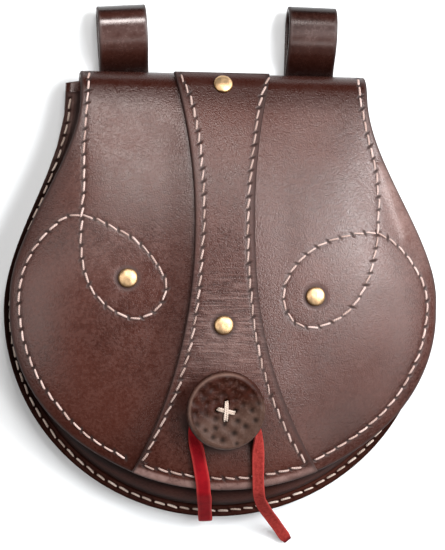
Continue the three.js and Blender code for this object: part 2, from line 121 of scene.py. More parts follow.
# A node tree with short ways to add to it. A value is another node's output or a plain number, and a plain
# colour is three numbers.
class Nodes:
    def __init__(self, tree):
        self.tree = tree

    def give(self, socket, value):
        if isinstance(value, bpy.types.NodeSocket):
            self.tree.links.new(value, socket)
        else:
            socket.default_value = (*value, 1.0) if socket.type == "RGBA" else value

    def put(self, kind, sockets=None, **settings):
        made = self.tree.nodes.new("ShaderNode" + kind)
        for key, value in settings.items():
            setattr(made, key, value)
        for key, value in (sockets or {}).items():
            self.give(made.inputs[key], value)
        return made.outputs

    def calc(self, operation, *values):
        return self.put("Math", dict(enumerate(values)), operation=operation)[0]

    def times(self, a, b):
        return self.calc("MULTIPLY", a, b)

    def timesPlus(self, a, b, c):  # a * b + c
        return self.calc("MULTIPLY_ADD", a, b, c)

    def bell(self, x, width):  # exp(-(x / width)^2)
        squared = self.calc("POWER", self.calc("DIVIDE", x, width), 2.0)
        return self.calc("EXPONENT", self.times(squared, -1.0))

    def ramp(self, value, low, high):  # a smooth step from low to high
        sockets = {"Value": value, "From Min": low, "From Max": high}
        return self.put("MapRange", sockets, interpolation_type="SMOOTHSTEP")[0]

    def blend(self, share, a, b):
        return self.put("Mix", {0: share, 6: a, 7: b}, data_type="RGBA")[2]

    def layers(self, colour, *layers):  # shares of other colours, one over the other
        for share, over in layers:
            colour = self.blend(share, colour, over)
        return colour

    def point(self):
        return self.put("TexCoord")["Object"]

    def noise(self, scale, detail, roughness=0.55, where=None, **more):
        where = self.point() if where is None else where
        sockets = {"Vector": where, "Scale": scale, "Detail": detail, "Roughness": roughness, **more}
        return self.put("TexNoise", sockets)[0]

    def field(self, name):  # a number that the piece has at each point
        return self.put("Attribute", attribute_name=name)["Fac"]

    def fields(self, name):  # three such numbers
        return self.put("SeparateXYZ", {0: self.put("Attribute", attribute_name=name)["Vector"]})


def newGroup(name, inputs, outputs):
    group = bpy.data.node_groups.new(name, "ShaderNodeTree")
    for socket, value in inputs.items():
        made = group.interface.new_socket(socket, in_out="INPUT", socket_type="NodeSocketFloat")
        made.default_value = value
    for socket in outputs:
        group.interface.new_socket(socket, in_out="OUTPUT", socket_type="NodeSocketFloat")
    given, out = group.nodes.new("NodeGroupInput").outputs, group.nodes.new("NodeGroupOutput").inputs
    return group, Nodes(group), given, out


grainSet = {
    "cells": 1000.0, "smooth": 0.35, "warp": 420.0, "push": 0.0009,  # pebbles, and what bends them, in metres
    "pores": 2600.0, "pore": 0.45, "pebble": 0.55,  # and both shares of the height
    "spots": [  # output, the noise's scale, detail and roughness, and the part of it that is spread out
        ("Fleck", (780.0, 4.0, 0.6), (0.36, 0.64)),
        ("Mottle", (150.0, 6.0, 0.72), (0.3, 0.7)),
        ("Stain", (26.0, 4.0, 0.58), (0.34, 0.66)),
    ],
}


# Leather: pebbles with pores in them, pale flecks, blotches, and slow stains from dye and handling.
def makeLeatherGrain(s):
    outputs = ["Height"] + [name for name, _, _ in s["spots"]]
    group, n, given, out = newGroup("leather grain", {"Cells": s["cells"]}, outputs)
    where = n.point()
    warp = n.put("TexNoise", {"Vector": where, "Scale": s["warp"], "Detail": 2.0})[1]
    push = n.put("VectorMath", {0: warp, "Scale": s["push"]}, operation="SCALE")[0]
    bent = n.put("VectorMath", {0: where, 1: push}, operation="ADD")[0]
    sockets = {"Vector": bent, "Scale": given["Cells"], "Smoothness": s["smooth"]}
    pebble = n.calc("SUBTRACT", 1.0, n.put("TexVoronoi", sockets, feature="SMOOTH_F1")["Distance"])
    pores = n.noise(s["pores"], 3.0)
    n.give(out["Height"], n.timesPlus(pores, s["pore"], n.times(pebble, s["pebble"])))
    for name, noise, part in s["spots"]:
        n.give(out[name], n.ramp(n.noise(*noise), *part))
    return group


seamSet = {
    "stitch": 5.5, "slant": 0.5, "slit": 0.52,  # mm between holes, how aslant and how wide a slit is
    "from": 0.5, "to": (1.3, 1.1), "strength": (0.45, 0.5),  # mm off the seam where it fades; chance * a + b
    "groove": 1.15,
}


# Seams: the attribute "seam" holds how many stitches along, how far off and on which side a point is.
# Mark is a slanted awl slit at each hole, and the second output is painted shade along the line that the
# thread is pulled into.
def makeSeamMarks(s):
    group, n, _, out = newGroup("seam marks", {}, ["Mark", "Groove"])
    along, off, side = n.fields("seam")
    nearest = n.calc("ADD", along, 0.5)
    fromHole = n.times(n.calc("SUBTRACT", n.calc("FRACT", nearest), 0.5), s["stitch"])
    slit = n.bell(n.timesPlus(side, s["slant"], fromHole), s["slit"])
    chance = n.put("TexWhiteNoise", {"W": n.calc("FLOOR", nearest)}, noise_dimensions="1D")["Value"]
    reach = n.calc("SUBTRACT", 1.0, n.ramp(off, s["from"], n.timesPlus(chance, *s["to"])))
    n.give(out["Mark"], n.times(n.times(slit, reach), n.timesPlus(chance, *s["strength"])))
    n.give(out["Groove"], n.bell(off, s["groove"]))
    return group


leatherGrain = makeLeatherGrain(grainSet)
seamMarks = makeSeamMarks(seamSet)


def newMaterial(name, plain):
    material = bpy.data.materials.new(name)
    material.use_nodes = True
    n, shader = Nodes(material.node_tree), material.node_tree.nodes["Principled BSDF"]
    for key, value in plain.items():
        n.give(shader.inputs[key], value)
    return material, n, shader


# Joins what varies to the shader. A bump is its distance in metres and its strength.
def joinShader(n, shader, colour, roughness=None, height=None, bump=None):
    n.give(shader.inputs["Base Color"], colour)
    if roughness is not None:
        n.give(shader.inputs["Roughness"], roughness)
    if height is not None:
        sockets = {"Height": height, "Distance": bump[0], "Strength": bump[1]}
        n.give(shader.inputs["Normal"], n.put("Bump", sockets)[0])


leatherSet = {
    "fleck": 0.34, "mottle": 0.18,  # shares of the light colour
    "wrinkles": (100.0, 1050.0, 300.0), "wavy": 0.6,  # noise per metre along x, y and z
    "crest": (0.48, 0.66, 0.28), "valley": (0.5, 0.34, 0.6),  # of the wrinkles: from, to, share of the colour; a painted highlight on their crests and painted shade in their valleys
    "worn": (0.9, 0.5), "fold": 0.92, "groove": 0.5, "slit": 0.85,  # shares of those colours: painted highlight, painted shade, painted shade along the seams, and the awl slits
    "roughMottle": 0.08, "roughFleck": 0.05, "roughSlit": 0.6, "roughEdge": 0.45, "roughCoat": 0.2,
    "wrinkleHigh": 3.0, "creaseHigh": 0.5, "slitHigh": -2.2, "bump": (0.0001, 0.8),
}


# Leather with the attributes "edge" (dark cut edges, and painted shade round the rivets, under the button and
# along the strip's right edge), one for painted highlights, one for painted shade, and "wrinkled".
def leatherMaterial(name, look):
    s = leatherSet
    material, n, shader = newMaterial(name, {
        "Specular IOR Level": look["specular"], "Specular Tint": look["shine"],
        "Coat Weight": look["coat"], "Coat Roughness": s["roughCoat"]})
    grain = n.put("Group", {"Cells": look["cells"]}, node_tree=leatherGrain)
    seam = n.put("Group", node_tree=seamMarks)
    edge, worn, crease, wrinkled = (n.field(key) for key in ("edge", "worn", "crease", "wrinkled"))
    stretched = n.put("Mapping", {"Vector": n.point(), "Scale": s["wrinkles"]})[0]
    lines = n.noise(1.0, 3.0, where=stretched, Distortion=s["wavy"])

    # wrinkle crests painted lighter and valleys painted darker, as light and shade on them
    def streaks(low, high, share):
        return n.times(n.times(n.ramp(lines, low, high), wrinkled), share)

    # painted shade along the seams, with the dark of the awl slits
    sewn = n.calc("MINIMUM", n.timesPlus(seam["Groove"], s["groove"], seam["Mark"]), 1.0)
    colour = n.layers(
        look["deep"],
        (grain["Stain"], look["face"]),
        (n.timesPlus(grain["Fleck"], s["fleck"], n.times(grain["Mottle"], s["mottle"])), look["light"]),
        (streaks(*s["crest"]), look["rubbed"]),
        (streaks(*s["valley"]), look["cut"]),
        (n.times(worn, n.timesPlus(grain["Mottle"], *s["worn"])), look["rubbed"]),
        (n.times(crease, s["fold"]), look["fold"]),
        (n.times(edge, look["edge"]), look["cut"]),
        (n.times(sewn, s["slit"]), look["slit"]),
    )
    rough = look["roughness"]
    duller = [(grain["Mottle"], "Mottle"), (grain["Fleck"], "Fleck"), (seam["Mark"], "Slit"), (edge, "Edge")]
    for much, key in duller:
        rough = n.timesPlus(much, s["rough" + key], rough)
    depth = n.timesPlus(wrinkled, s["wrinkleHigh"], n.times(crease, s["creaseHigh"]))
    height = n.timesPlus(grain["Height"], look["grain"], n.times(lines, depth))
    height = n.timesPlus(seam["Mark"], s["slitHigh"], height)
    joinShader(n, shader, colour, rough, height, s["bump"])
    return material


brownLook = {
    "deep": (0.021, 0.0044, 0.0025),
    "face": (0.039, 0.0093, 0.0056),
    "light": (0.078, 0.028, 0.0205),
    # the colours of painted highlights and of painted shade
    "rubbed": (0.27, 0.17, 0.15),
    "fold": (0.020, 0.004, 0.0022),
    "cut": (0.012, 0.004, 0.003),
    "slit": (0.010, 0.004, 0.003),
    "shine": (1.0, 0.88, 0.84),
    "edge": 0.8, "specular": 0.36, "coat": 0.0, "roughness": 0.2, "cells": 1750.0, "grain": 1.25,
}
loopLook = {
    **brownLook,
    "deep": (0.014, 0.0032, 0.0019),
    "face": (0.024, 0.006, 0.0036),
    "light": (0.042, 0.013, 0.009),
    "fold": (0.003, 0.0006, 0.0004),
    "specular": 0.5, "coat": 0.3, "roughness": 0.18, "grain": 0.2,
}
# the right loop: a darker copy of the loop leather, as painted shade
darkLoopLook = {
    **loopLook,
    "deep": (0.009, 0.002, 0.0012),
    "face": (0.016, 0.0038, 0.0023),
    "light": (0.030, 0.009, 0.006),
    "specular": 0.3, "coat": 0.12,
}
stripLook = {**brownLook, "specular": 0.32, "roughness": 0.23}
frontLook = {
    **brownLook,
    "face": (0.044, 0.0105, 0.006),
    "fold": (0.004, 0.001, 0.0006),
    "specular": 0.03, "roughness": 0.5,
}
brownLeather = leatherMaterial("brown leather", brownLook)
stripLeather = leatherMaterial("strip leather", stripLook)
frontLeather = leatherMaterial("front leather", frontLook)
loopLeather = leatherMaterial("loop leather", loopLook)
darkLoopLeather = leatherMaterial("dark loop leather", darkLoopLook)

threadSet = {
    "strands": 2.0, "laid": 1.15,  # turns of a strand per mm
    "strand": 0.3, "stitch": 0.7,  # how much the strands and the stitches differ in shade
    "bump": (0.0002, 0.7),
}


# Waxed linen: strands laid round each other, from the attribute "thread" (mm along, turns round, shade).
def threadMaterial(name, colour, dark):
    s = threadSet
    material, n, shader = newMaterial(name, {"Roughness": 0.75, "Specular IOR Level": 0.25})
    along, turns, shade = n.fields("thread")
    lay = n.timesPlus(turns, s["strands"], n.times(along, s["laid"]))
    strand = n.timesPlus(n.calc("SINE", n.times(lay, 2 * np.pi)), 0.5, 0.5)
    pale = n.timesPlus(strand, s["strand"], n.times(shade, s["stitch"]))
    joinShader(n, shader, n.blend(pale, dark, colour), None, strand, s["bump"])
    return material


linen = threadMaterial("linen thread", (0.54, 0.40, 0.36), (0.28, 0.18, 0.15))
stripLinen = threadMaterial("strip thread", (0.42, 0.305, 0.27), (0.23, 0.15, 0.125))
rimLinen = threadMaterial("rim thread", (0.68, 0.55, 0.47), (0.34, 0.24, 0.19))
whiteThread = threadMaterial("white thread", (0.48, 0.38, 0.315), (0.33, 0.25, 0.20))

laceLook = {
    "dyed": ((0.125, 0.0035, 0.006), (0.21, 0.0055, 0.009)),
    "stain": (120.0, 3.0), "stained": (0.3, 0.7),  # a noise, and the part of it that is spread out
    "suede": ((0.14, 0.014, 0.012), (0.225, 0.027, 0.0225)),
    "fibre": (900.0, 5.0, 0.7), "fibrous": (0.35, 0.65),
    "rubbed": (0.38, 0.05, 0.043), "rub": 0.45, "rubFrom": (0.55, 1.0),  # share of the way to its edges
    "tip": (0.09, 0.008, 0.01), "tipFrom": (0.988, 0.998),  # share of its length
    "rough": (0.25, 0.6), "bump": (0.0002, 0.6),
}


# Lace: the attribute "lace" holds the share of its length, the way across and the flesh side's share.
def laceMaterial(s):
    material, n, shader = newMaterial("red lace", {"Specular IOR Level": 0.01})
    along, across, flesh = n.fields("lace")
    fibre = n.noise(*s["fibre"])
    dyed = n.blend(n.ramp(n.noise(*s["stain"]), *s["stained"]), *s["dyed"])
    suede = n.blend(n.ramp(fibre, *s["fibrous"]), *s["suede"])
    rub = n.times(n.ramp(n.calc("ABSOLUTE", across), *s["rubFrom"]), s["rub"])
    tip = n.ramp(along, *s["tipFrom"])
    colour = n.layers(dyed, (flesh, suede), (rub, s["rubbed"]), (tip, s["tip"]))
    joinShader(n, shader, colour, n.timesPlus(flesh, *s["rough"]), fibre, s["bump"])
    return material


brassLook = {
    "face": (0.52, 0.34, 0.185), "dark": (0.38, 0.235, 0.115), "edge": (0.28, 0.15, 0.05),
    "tarnish": (420.0, 5.0, 0.65), "tarnished": (0.4, 0.75), "much": 0.5,
    "rough": (0.15, 0.42), "scratch": (2400.0, 2.0), "bump": (0.00008, 0.4),
}


def brassMaterial(s):
    material, n, shader = newMaterial("brass", {"Metallic": 1.0})
    tarnish = n.ramp(n.noise(*s["tarnish"]), *s["tarnished"])
    colour = n.layers(s["face"], (n.times(tarnish, s["much"]), s["dark"]), (n.field("edge"), s["edge"]))
    joinShader(n, shader, colour, n.timesPlus(tarnish, *s["rough"]), n.noise(*s["scratch"]), s["bump"])
    return material


hornLook = {
    # the upper half's red is painted shade and the lower half's grey painted light; ridge is the painted
    # highlight on the brim, and the pits are painted in shade
    "red": ((0.013, 0.003, 0.0015), (0.030, 0.0072, 0.004)),
    "grey": ((0.040, 0.019, 0.013), (0.064, 0.035, 0.026)),
    "cloud": (190.0, 5.0, 0.65), "cloudy": (0.34, 0.66),
    "fleck": (0.10, 0.052, 0.040), "speck": (900.0, 3.0), "specked": (0.5, 0.7), "much": 0.25,
    "ridge": (0.16, 0.095, 0.075), "pit": (0.006, 0.003, 0.002), "pitDark": 0.9,
    "rough": (0.3, 0.4), "bump": (0.0001, 0.5),
}


# Button: dark horn, its upper half red in painted shade and its lower half grey as painted light, with a
# painted highlight on its brim and painted shade in its pits and on its lower side.
def hornMaterial(s):
    material, n, shader = newMaterial("dark horn", {"Specular IOR Level": 0.07})
    cloud = n.ramp(n.noise(*s["cloud"]), *s["cloudy"])
    speck = n.ramp(n.noise(*s["speck"]), *s["specked"])
    pit, ridge, dull = (n.field(key) for key in ("pit", "worn", "dull"))
    colour = n.layers(
        n.blend(cloud, *s["red"]),
        (dull, n.blend(cloud, *s["grey"])),
        (n.times(speck, s["much"]), s["fleck"]),
        (ridge, s["ridge"]),
        (n.times(pit, s["pitDark"]), s["pit"]),
    )
    joinShader(n, shader, colour, n.timesPlus(pit, *s["rough"]), speck, s["bump"])
    return material


redLace = laceMaterial(laceLook)
brass = brassMaterial(brassLook)
darkHorn = hornMaterial(hornLook)
print("materials made")


weld = 2e-6  # metres


def tidyMesh(mesh):  # closes seams and poles, and turns every face outwards
    work = bmesh.new()
    work.from_mesh(mesh)
    bmesh.ops.remove_doubles(work, verts=work.verts, dist=weld)
    bmesh.ops.recalc_face_normals(work, faces=work.faces)
    work.to_mesh(mesh)
    work.free()


def makePiece(name, points, polygons, material, slotName, nodes=(), **fields):
    points = points.reshape(-1, 3)
    mesh = bpy.data.meshes.new(name)
    sizes = np.concatenate([np.full(len(p), p.shape[1]) for p in polygons])
    corners = np.concatenate([p.ravel() for p in polygons])
    mesh.vertices.add(len(points))
    mesh.vertices.foreach_set("co", toMetres(points).astype(np.float32).ravel())
    mesh.loops.add(len(corners))
    mesh.loops.foreach_set("vertex_index", corners.astype(np.int32))
    mesh.polygons.add(len(sizes))
    mesh.polygons.foreach_set("loop_start", (np.cumsum(sizes) - sizes).astype(np.int32))
    mesh.update(calc_edges=True)
    for key, values in fields.items():
        values = np.asarray(values, np.float32)
        plain = values.size == len(points)
        layer = mesh.attributes.new(key, "FLOAT" if plain else "FLOAT_VECTOR", "POINT")
        layer.data.foreach_set("value" if plain else "vector", values.ravel())
    tidyMesh(mesh)
    mesh.shade_smooth()
    piece = newObject(name, mesh)
    mesh.materials.append(material)
    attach(piece, "root")
    if nodes:
        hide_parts(*nodes)
    return piece


def numbered(points, start=0):  # the number of each point of a grid
    return start + np.arange(points[..., 0].size).reshape(points.shape[:-1])


def gridFaces(index):
    corners = [index[:-1, :-1], index[:-1, 1:], index[1:, 1:], index[1:, :-1]]
    return np.stack(corners, -1).reshape(-1, 4)


def ringFaces(index):  # a grid that closes round its second way
    return gridFaces(np.concatenate([index, index[:, :1]], 1))


# One strip of side walls: each has a run of fine points on one line and a pair of coarse ones on the other.
def sideFaces(fine, coarse, every):
    runs = np.arange(len(coarse) - 1)[:, None] * every + np.arange(every + 1)
    return np.concatenate([fine[runs], coarse[1:, None], coarse[:-1, None]], 1)


farOff = 9.0  # mm, the field "seam" where there is no seam


# A piece of leather: the outer grid, the inner grid thinned to every few points, and walls round its edge.
# Corners within a radius r of the edge are rounded: at a distance d each face sinks by
# r - sqrt(r^2 - (r - d)^2). Relief raises the outer face. The fields are plain on the inner grid.
def makeLeather(name, node, material, slotName, grids, distance, radius, relief, every=4, walls=4, **fields):
    outer, inner = grids
    thick = unit(inner - outer)
    sink = radius - np.sqrt(radius**2 - np.clip(radius - distance, 0.0, radius) ** 2)
    top = outer + thick * (sink - relief)[..., None]
    under = (inner - thick * sink[..., None])[::every, ::every]
    fine = numbered(top)
    coarse = numbered(under, fine.size)
    sides = [(index[0], index[-1], index[:, -1], index[:, 0])[:walls] for index in (fine, coarse)]
    faces = [gridFaces(fine), gridFaces(coarse)[:, ::-1]]
    faces = faces + [sideFaces(*pair, every) for pair in zip(*sides)]
    for key, field in fields.items():
        plain = np.full((coarse.size, *field.shape[2:]), farOff if key == "seam" else 0.0)
        fields[key] = np.concatenate([field.reshape(-1, *field.shape[2:]), plain])
    points = np.concatenate([top.reshape(-1, 3), under.reshape(-1, 3)])
    makePiece(name, points, faces, material, slotName, [node], **fields)


# A smooth line through a few points: cubic pieces, each tangent half the step between its neighbours.
def smoothLine(points, steps=24):
    p = np.asarray(points, float)
    padded = np.concatenate([[2 * p[0] - p[1]], p, [2 * p[-1] - p[-2]]])
    t = np.linspace(0.0, 1.0, steps, endpoint=False)[:, None, None]
    a, b, c, d = padded[:-3], padded[1:-2], padded[2:-1], padded[3:]
    line = b + 0.5 * t * (c - a + t * (2 * a - 5 * b + 4 * c - d + t * (3 * (b - c) + d - a)))
    return np.concatenate([line.transpose(1, 0, 2).reshape(-1, p.shape[1]), p[-1:]])


def wayAlong(line):  # the length of a line up to each of its points
    return np.concatenate([[0.0], np.cumsum(np.linalg.norm(np.diff(line, axis=0), axis=1))])


def columnsAt(at, known, values):
    return np.stack([np.interp(at, known, values[:, k]) for k in range(values.shape[1])], -1)


def evenly(line, count):  # the same line at equal steps of its length
    gone = wayAlong(line)
    return columnsAt(np.linspace(0.0, gone[-1], count), gone, line)


laceSet = {
    "width": 5.8, "thickness": 1.6,
    "length": 0.202,  # metres
    "steps": 220, "sides": 24,
    "cup": 0.35, "cupLow": 0.6,  # mm that its middle lies lower than its edges, and the share of that below
    "cupOver": ((0.06, 0.16), (0.9, 1.0)),  # shares of its length over which the cup comes and goes
    "taper": (1.05, 0.87), "taperOver": (0.3, 0.8),  # share of the width at the caught and at the free end
    "tip": (0.985, 1.0), "tipLoss": 0.25,
    "wander": 0.03, "waves": (61.0, 23.0),
    "soften": 9, "softOver": ((0.64, 0.72), (0.94, 1.0)),  # where its free end's sideways bend is rounded
    "fleshOver": (0.44, 0.6),  # where it turns its flesh side out
}
laceRoute = [  # x, y, z, then the way that its flat face looks
    (-2.8, -82.2, 1.2, 0, -0.3, -1),
    (-3.2, -85.6, 1.9, 0, -0.3, -1),
    (-3.6, -88.3, 3.9, 0, -1, -0.7),
    (-4.0, -88.9, 7.2, 0, -1, 0),
    (-4.5, -88.1, 11.2, 0, -1, 0.5),
    (-5.8, -82.6, 21.6, 0, -1, 0.5),
    (-7.2, -77.0, 32.0, 0, -0.9, 0.6),
    (-7.9, -74.4, 35.6, 0, -0.6, 0.9),
    (-8.5, -70.0, 37.7, 0, -0.4, 1),
    (-9.8, -64.0, 39.8, 0, -0.3, 1),
    (-11.3, -57.0, 41.8, -0.2, -0.1, 1),
    (-13.0, -50.0, 44.2, -0.9, 0, 0.7),
    (-13.7, -43.0, 45.7, -1, 0, 0),
    (-12.4, -34.6, 46.0, -0.94, 0.34, 0),
    (-7.6, -28.7, 46.2, -0.55, 0.84, 0),
    (-1.0, -26.7, 46.3, 0, 1, 0),
    (5.6, -28.7, 46.2, 0.55, 0.84, 0),
    (10.4, -34.6, 46.0, 0.94, 0.34, 0),
    (12.1, -43.0, 45.7, 1, 0, 0),
    (13.3, -50.0, 44.2, 0.9, 0, 0.7),
    (13.8, -57.0, 41.8, 0.2, -0.1, 1),
    (14.2, -64.0, 39.8, 0, -0.3, 1),
    (14.5, -70.0, 37.7, 0, -0.4, 1),
    (14.8, -74.4, 35.6, 0, -0.6, 0.9),
    (16.0, -77.6, 31.4, 0.1, -0.9, 0.6),
    (19.8, -83.2, 20.8, 0.3, -1, 0.5),
    (24.2, -88.4, 11.6, 0.4, -0.8, 0.8),
    (28.4, -93.6, 5.4, 0.4, -0.6, 0.9),
    (32.4, -98.4, 1.3, 0.2, -0.3, 1),
]


# The lace: a flat section with rounded edges, |a|^4 + |b|^4 = 1 across and through it, cupped by a
# parabola, carried along the smooth route. Its width wanders by a few percent, as it was cut by hand.
def makeLace(s):
    line = evenly(smoothLine(laceRoute), s["steps"])
    share = np.linspace(0.0, 1.0, s["steps"])

    def within(comes, goes):
        return smoothStep(share, *comes) * fall(share, *goes)

    window = 2 * s["soften"] + 1
    padded = np.pad(line[:, 0], s["soften"], mode="edge")
    softer = np.convolve(padded, np.full(window, 1.0 / window), "valid")
    line[:, 0] = mix(line[:, 0], softer, within(*s["softOver"]))
    centre, face = line[:, :3], line[:, 3:]
    ahead = unit(np.gradient(centre, axis=0))
    face = unit(face - ahead * (face * ahead).sum(1, keepdims=True))
    aside = np.cross(ahead, face)
    turn = around(s["sides"])
    a, b = (np.sign(v) * np.abs(v) ** 0.5 for v in (np.cos(turn), np.sin(turn)))
    ripple = np.sin(share * s["waves"][0]) * np.sin(share * s["waves"][1] + 1.0)
    half = 0.5 * s["width"] * (1.0 - s["wander"] + s["wander"] * ripple)
    half = half * mix(*s["taper"], smoothStep(share, *s["taperOver"]))
    half = half * (1.0 - s["tipLoss"] * smoothStep(share, *s["tip"]))
    cup = s["cup"] * within(*s["cupOver"])
    lift = 0.5 * s["thickness"] * b + cup[:, None] * (a**2 - s["cupLow"])
    points = centre[:, None] + aside[:, None] * (half[:, None] * a)[..., None]
    points = points + face[:, None] * lift[..., None]
    index = numbered(points)
    faces = [ringFaces(index), index[:1, ::-1], index[-1:]]
    flesh = smoothStep(share, *s["fleshOver"])
    field = np.stack([spread(share, len(a)), np.tile(a, (len(share), 1)), spread(flesh, len(a))], -1)
    lace = makePiece("lace_strap", points, faces, redLace, "red_leather", ["lace"], lace=field)


makeLace(laceSet)
print("lace laid")

# Outlines: half-widths at the shoulder and on the widest line, where the flare between them starts and ends,
# and how far down the bottom is.
rim = {"left": (66.0, 90.8), "right": (62.0, 90.8), "flareTop": 90.0, "flareEnd": 0.0, "bottom": 87.5}
flap = {"left": (60.4, 88.8), "right": (60.4, 90.7), "flareTop": 90.4, "flareEnd": 5.0, "bottom": 74.0}
stripRim = {**flap, "left": (59.6, 88.0), "right": (59.6, 89.9), "bottom": 73.2}
backSet = {
    "top": 96.0, "curl": 4.5, "curlStart": 0.77, "fadeFrom": 60.0,  # it curls from a share of the outline on
    "raise": 5.2, "from": 38.0, "to": 66.0,
}
# The fold: y of its crest, the radii of its corners, z of the front corner's middle.
foldSet = {"crest": 100.5, "backRadius": 3.5, "frontRadius": 11.0, "frontMiddle": 15.0, "lean": 20.8}
foldFront, foldMiddle = foldSet["crest"] - foldSet["frontRadius"], foldSet["frontMiddle"]
foldLean = np.radians(foldSet["lean"])  # the flap leaves the fold's front corner at this angle
flapStart = foldFront + foldSet["frontRadius"] * np.sin(foldLean)
flapStartHeight = foldMiddle + foldSet["frontRadius"] * np.cos(foldLean)
# The flap: y and z of its highest place, how much lower its edges are, and y from where on they are so.
bellySet = {"y": 10.0, "top": 41.0, "sideDrop": 12.5, "bottomDrop": 9.0, "fullDrop": 20.0}
leather = {"back": 2.6, "front": 2.2, "strip": 1.8, "loop": 2.3}  # mm thick
gaps = {"strip": 0.3, "flange": 0.5, "loop": 0.3}  # mm under them


# Half-width of an outline at y: an ellipse below the widest line, a smooth flare up to the shoulder.
def halfWidth(outline, x, y):
    shoulder = np.where(x < 0, outline["left"][0], outline["right"][0])
    widest = np.where(x < 0, outline["left"][1], outline["right"][1])
    below = widest * np.sqrt(np.clip(1.0 - (y / outline["bottom"]) ** 2, 0.0, 1.0))
    flare = smoothStep(outline["flareTop"] - y, 0.0, outline["flareTop"] - outline["flareEnd"])
    return np.where(y < 0, below, mix(shoulder, widest, flare))


def reach(outline, x, y):  # 0 on the middle line and 1 on the outline
    below = np.hypot(x / halfWidth(outline, x, 0.0 * y), y / outline["bottom"])
    return np.where(y < 0, below, np.abs(x) / np.maximum(halfWidth(outline, x, y), tiny))


def edgeDistance(outline, x, y):  # (1 - reach) over the slope of reach, in mm
    step = 0.5
    wide = halfWidth(outline, x, 0.0 * y)
    out = np.maximum(reach(outline, x, y), tiny)
    slope = np.hypot(x / wide**2, y / outline["bottom"] ** 2) / out
    below = (1.0 - out) / np.maximum(slope, tiny)
    upper = np.maximum(y, step)
    lean = halfWidth(outline, x, upper + step) - halfWidth(outline, x, upper - step)
    above = (halfWidth(outline, x, y) - np.abs(x)) / np.sqrt(1.0 + lean**2)
    return np.maximum(np.where(y < 0, below, above), 0.0)


def backHeight(x, y):  # the outer face of the back: flat, curled up at the rim, raised over the loops' ends
    s = backSet
    margin = np.clip((reach(rim, x, y) - s["curlStart"]) / (1.0 - s["curlStart"]), 0.0, 1.0)
    fade = fall(y, s["fadeFrom"], s["top"])
    return s["curl"] * fade * margin**2 + s["raise"] * smoothStep(y, s["from"], s["to"])


stripSet = {
    "middle": -1.1, "waist": 12.5, "waistY": 38.3, "startAngle": 30.0, "tip": 86.5,
    "above": (7.7, 60.4, 2.0), "below": (24.0, 100.0, 2.3),  # gain, over and power of its flare
    "aside": 2.4, "bendPower": 3.0,  # how its lower end bends aside
    "columns": (0.93, 19, (0.955, 0.972, 0.985, 0.994, 0.9985, 1.0)),  # even ones, then those at the edge
    "rows": (25, 117, 109),  # on the fold, the flap's upper part and its round part
    "clear": 0.1, "round": 0.65,
    "darkEdge": (1.5, 0.8),  # how far the dark of the cut edge reaches, right and left; the wider dark on the right is painted shade
    "foot": 0.5, "footOver": (2.6, 3.8), "footBelow": -40.0,  # a painted highlight on its lower margin
    "rubbed": [(1.9, -12.0, 14.0, 0.22)],  # x, y, radius and share of a painted highlight
    "darkFold": (80.0, 92.0), "band": 0.25, "bandY": -15.0, "bandReach": 18.0,  # where it is painted in shade: under the fold's crest, and in a band round y = -15
    "buttonOver": (1.0, 3.6), "buttonBelow": (-2.0, 10.0),  # the painted shadow under the button
    "wrinkleY": -5.0, "wrinkleReach": 23.0,  # where it wrinkles, and how far up and down
}


def stripWidth(y):  # half-width of the strip: waist + gain * (distance from the waist / over)^power
    s = stripSet
    gain, over, power = (np.where(y > s["waistY"], a, b) for a, b in zip(s["above"], s["below"]))
    return s["waist"] + gain * (np.abs(y - s["waistY"]) / over) ** power


def stripMiddle(y):  # its middle line: straight down to the waist, then aside * (distance / over)^bendPower
    s = stripSet
    return s["middle"] + s["aside"] * (np.maximum(s["waistY"] - y, 0.0) / s["below"][1]) ** s["bendPower"]


def leftOfStrip(x, y):  # mm to the left of the strip's left edge
    return stripMiddle(y) - stripWidth(y) - x


swaySet = {
    "slow": (0.2, 21.0, 33.0, 0.6, 24.0, 49.0, 1.3),  # mm high, lengths and starts of the two sines
    "quick": (0.02, 8.7, 15.0, 1.9, 11.3, 19.0, 0.3),
    "left": (1.4, -5.0, 14.0, 20.0, 60.0),  # mm deep, and from the strip's edge: starts, full, fades, ends
    "right": (0.7, -5.0, 16.0, 24.0, 60.0),
    "fade": 24.0,  # mm below the fold
}


# The leather's slow unevenness: products of sines a few centimetres long, and a step down beside the strip.
def sway(x, y):
    def wave(high, a, b, c, d, e, f):
        return high * (np.sin(x / a + y / b + c) * np.sin(y / d - x / e + f))

    def step(beside, deep, starts, full, fades, ends):
        return deep * smoothStep(beside, starts, full) * fall(beside, fades, ends)

    s, mirrored = swaySet, 2.0 * stripMiddle(y) - x
    steps = step(leftOfStrip(x, y), *s["left"]) + step(leftOfStrip(mirrored, y), *s["right"])
    return (wave(*s["slow"]) + wave(*s["quick"]) - steps) * smoothStep(flapStart - y, 0.0, s["fade"])


# Outer face of the flap: a parabola from the fold up to the belly, falling towards its edge with reach^4.
def flapHeight(x, y):
    s = bellySet
    upper = np.maximum((y - s["y"]) / (flapStart - s["y"]), 0.0)
    out = np.maximum(reach(flap, x, y), tiny)
    downward = np.where(y < 0, (y / flap["bottom"] / out) ** 2, 0.0)
    grown = smoothStep(flapStart - y, 0.0, flapStart - s["fullDrop"])
    drop = mix(s["sideDrop"], s["bottomDrop"], downward) * grown
    return mix(s["top"], flapStartHeight, upper**2) - drop * out**4


def overFlap(x, y, above):  # height of a face above the flap, on the fold's circle past its front
    step, lowest = 0.5, 0.01
    radius = foldSet["frontRadius"] + above
    circle = radius**2 - np.maximum(y - foldFront, 0.0) ** 2
    onFold = foldMiddle + np.sqrt(np.maximum(circle, lowest))
    lean = flapHeight(x, y - step) - flapHeight(x, y + step)
    onFlap = flapHeight(x, y) + above * np.sqrt(1.0 + lean**2)
    return np.where(y > foldFront + radius * np.sin(foldLean), onFold, onFlap) + sway(x, y)


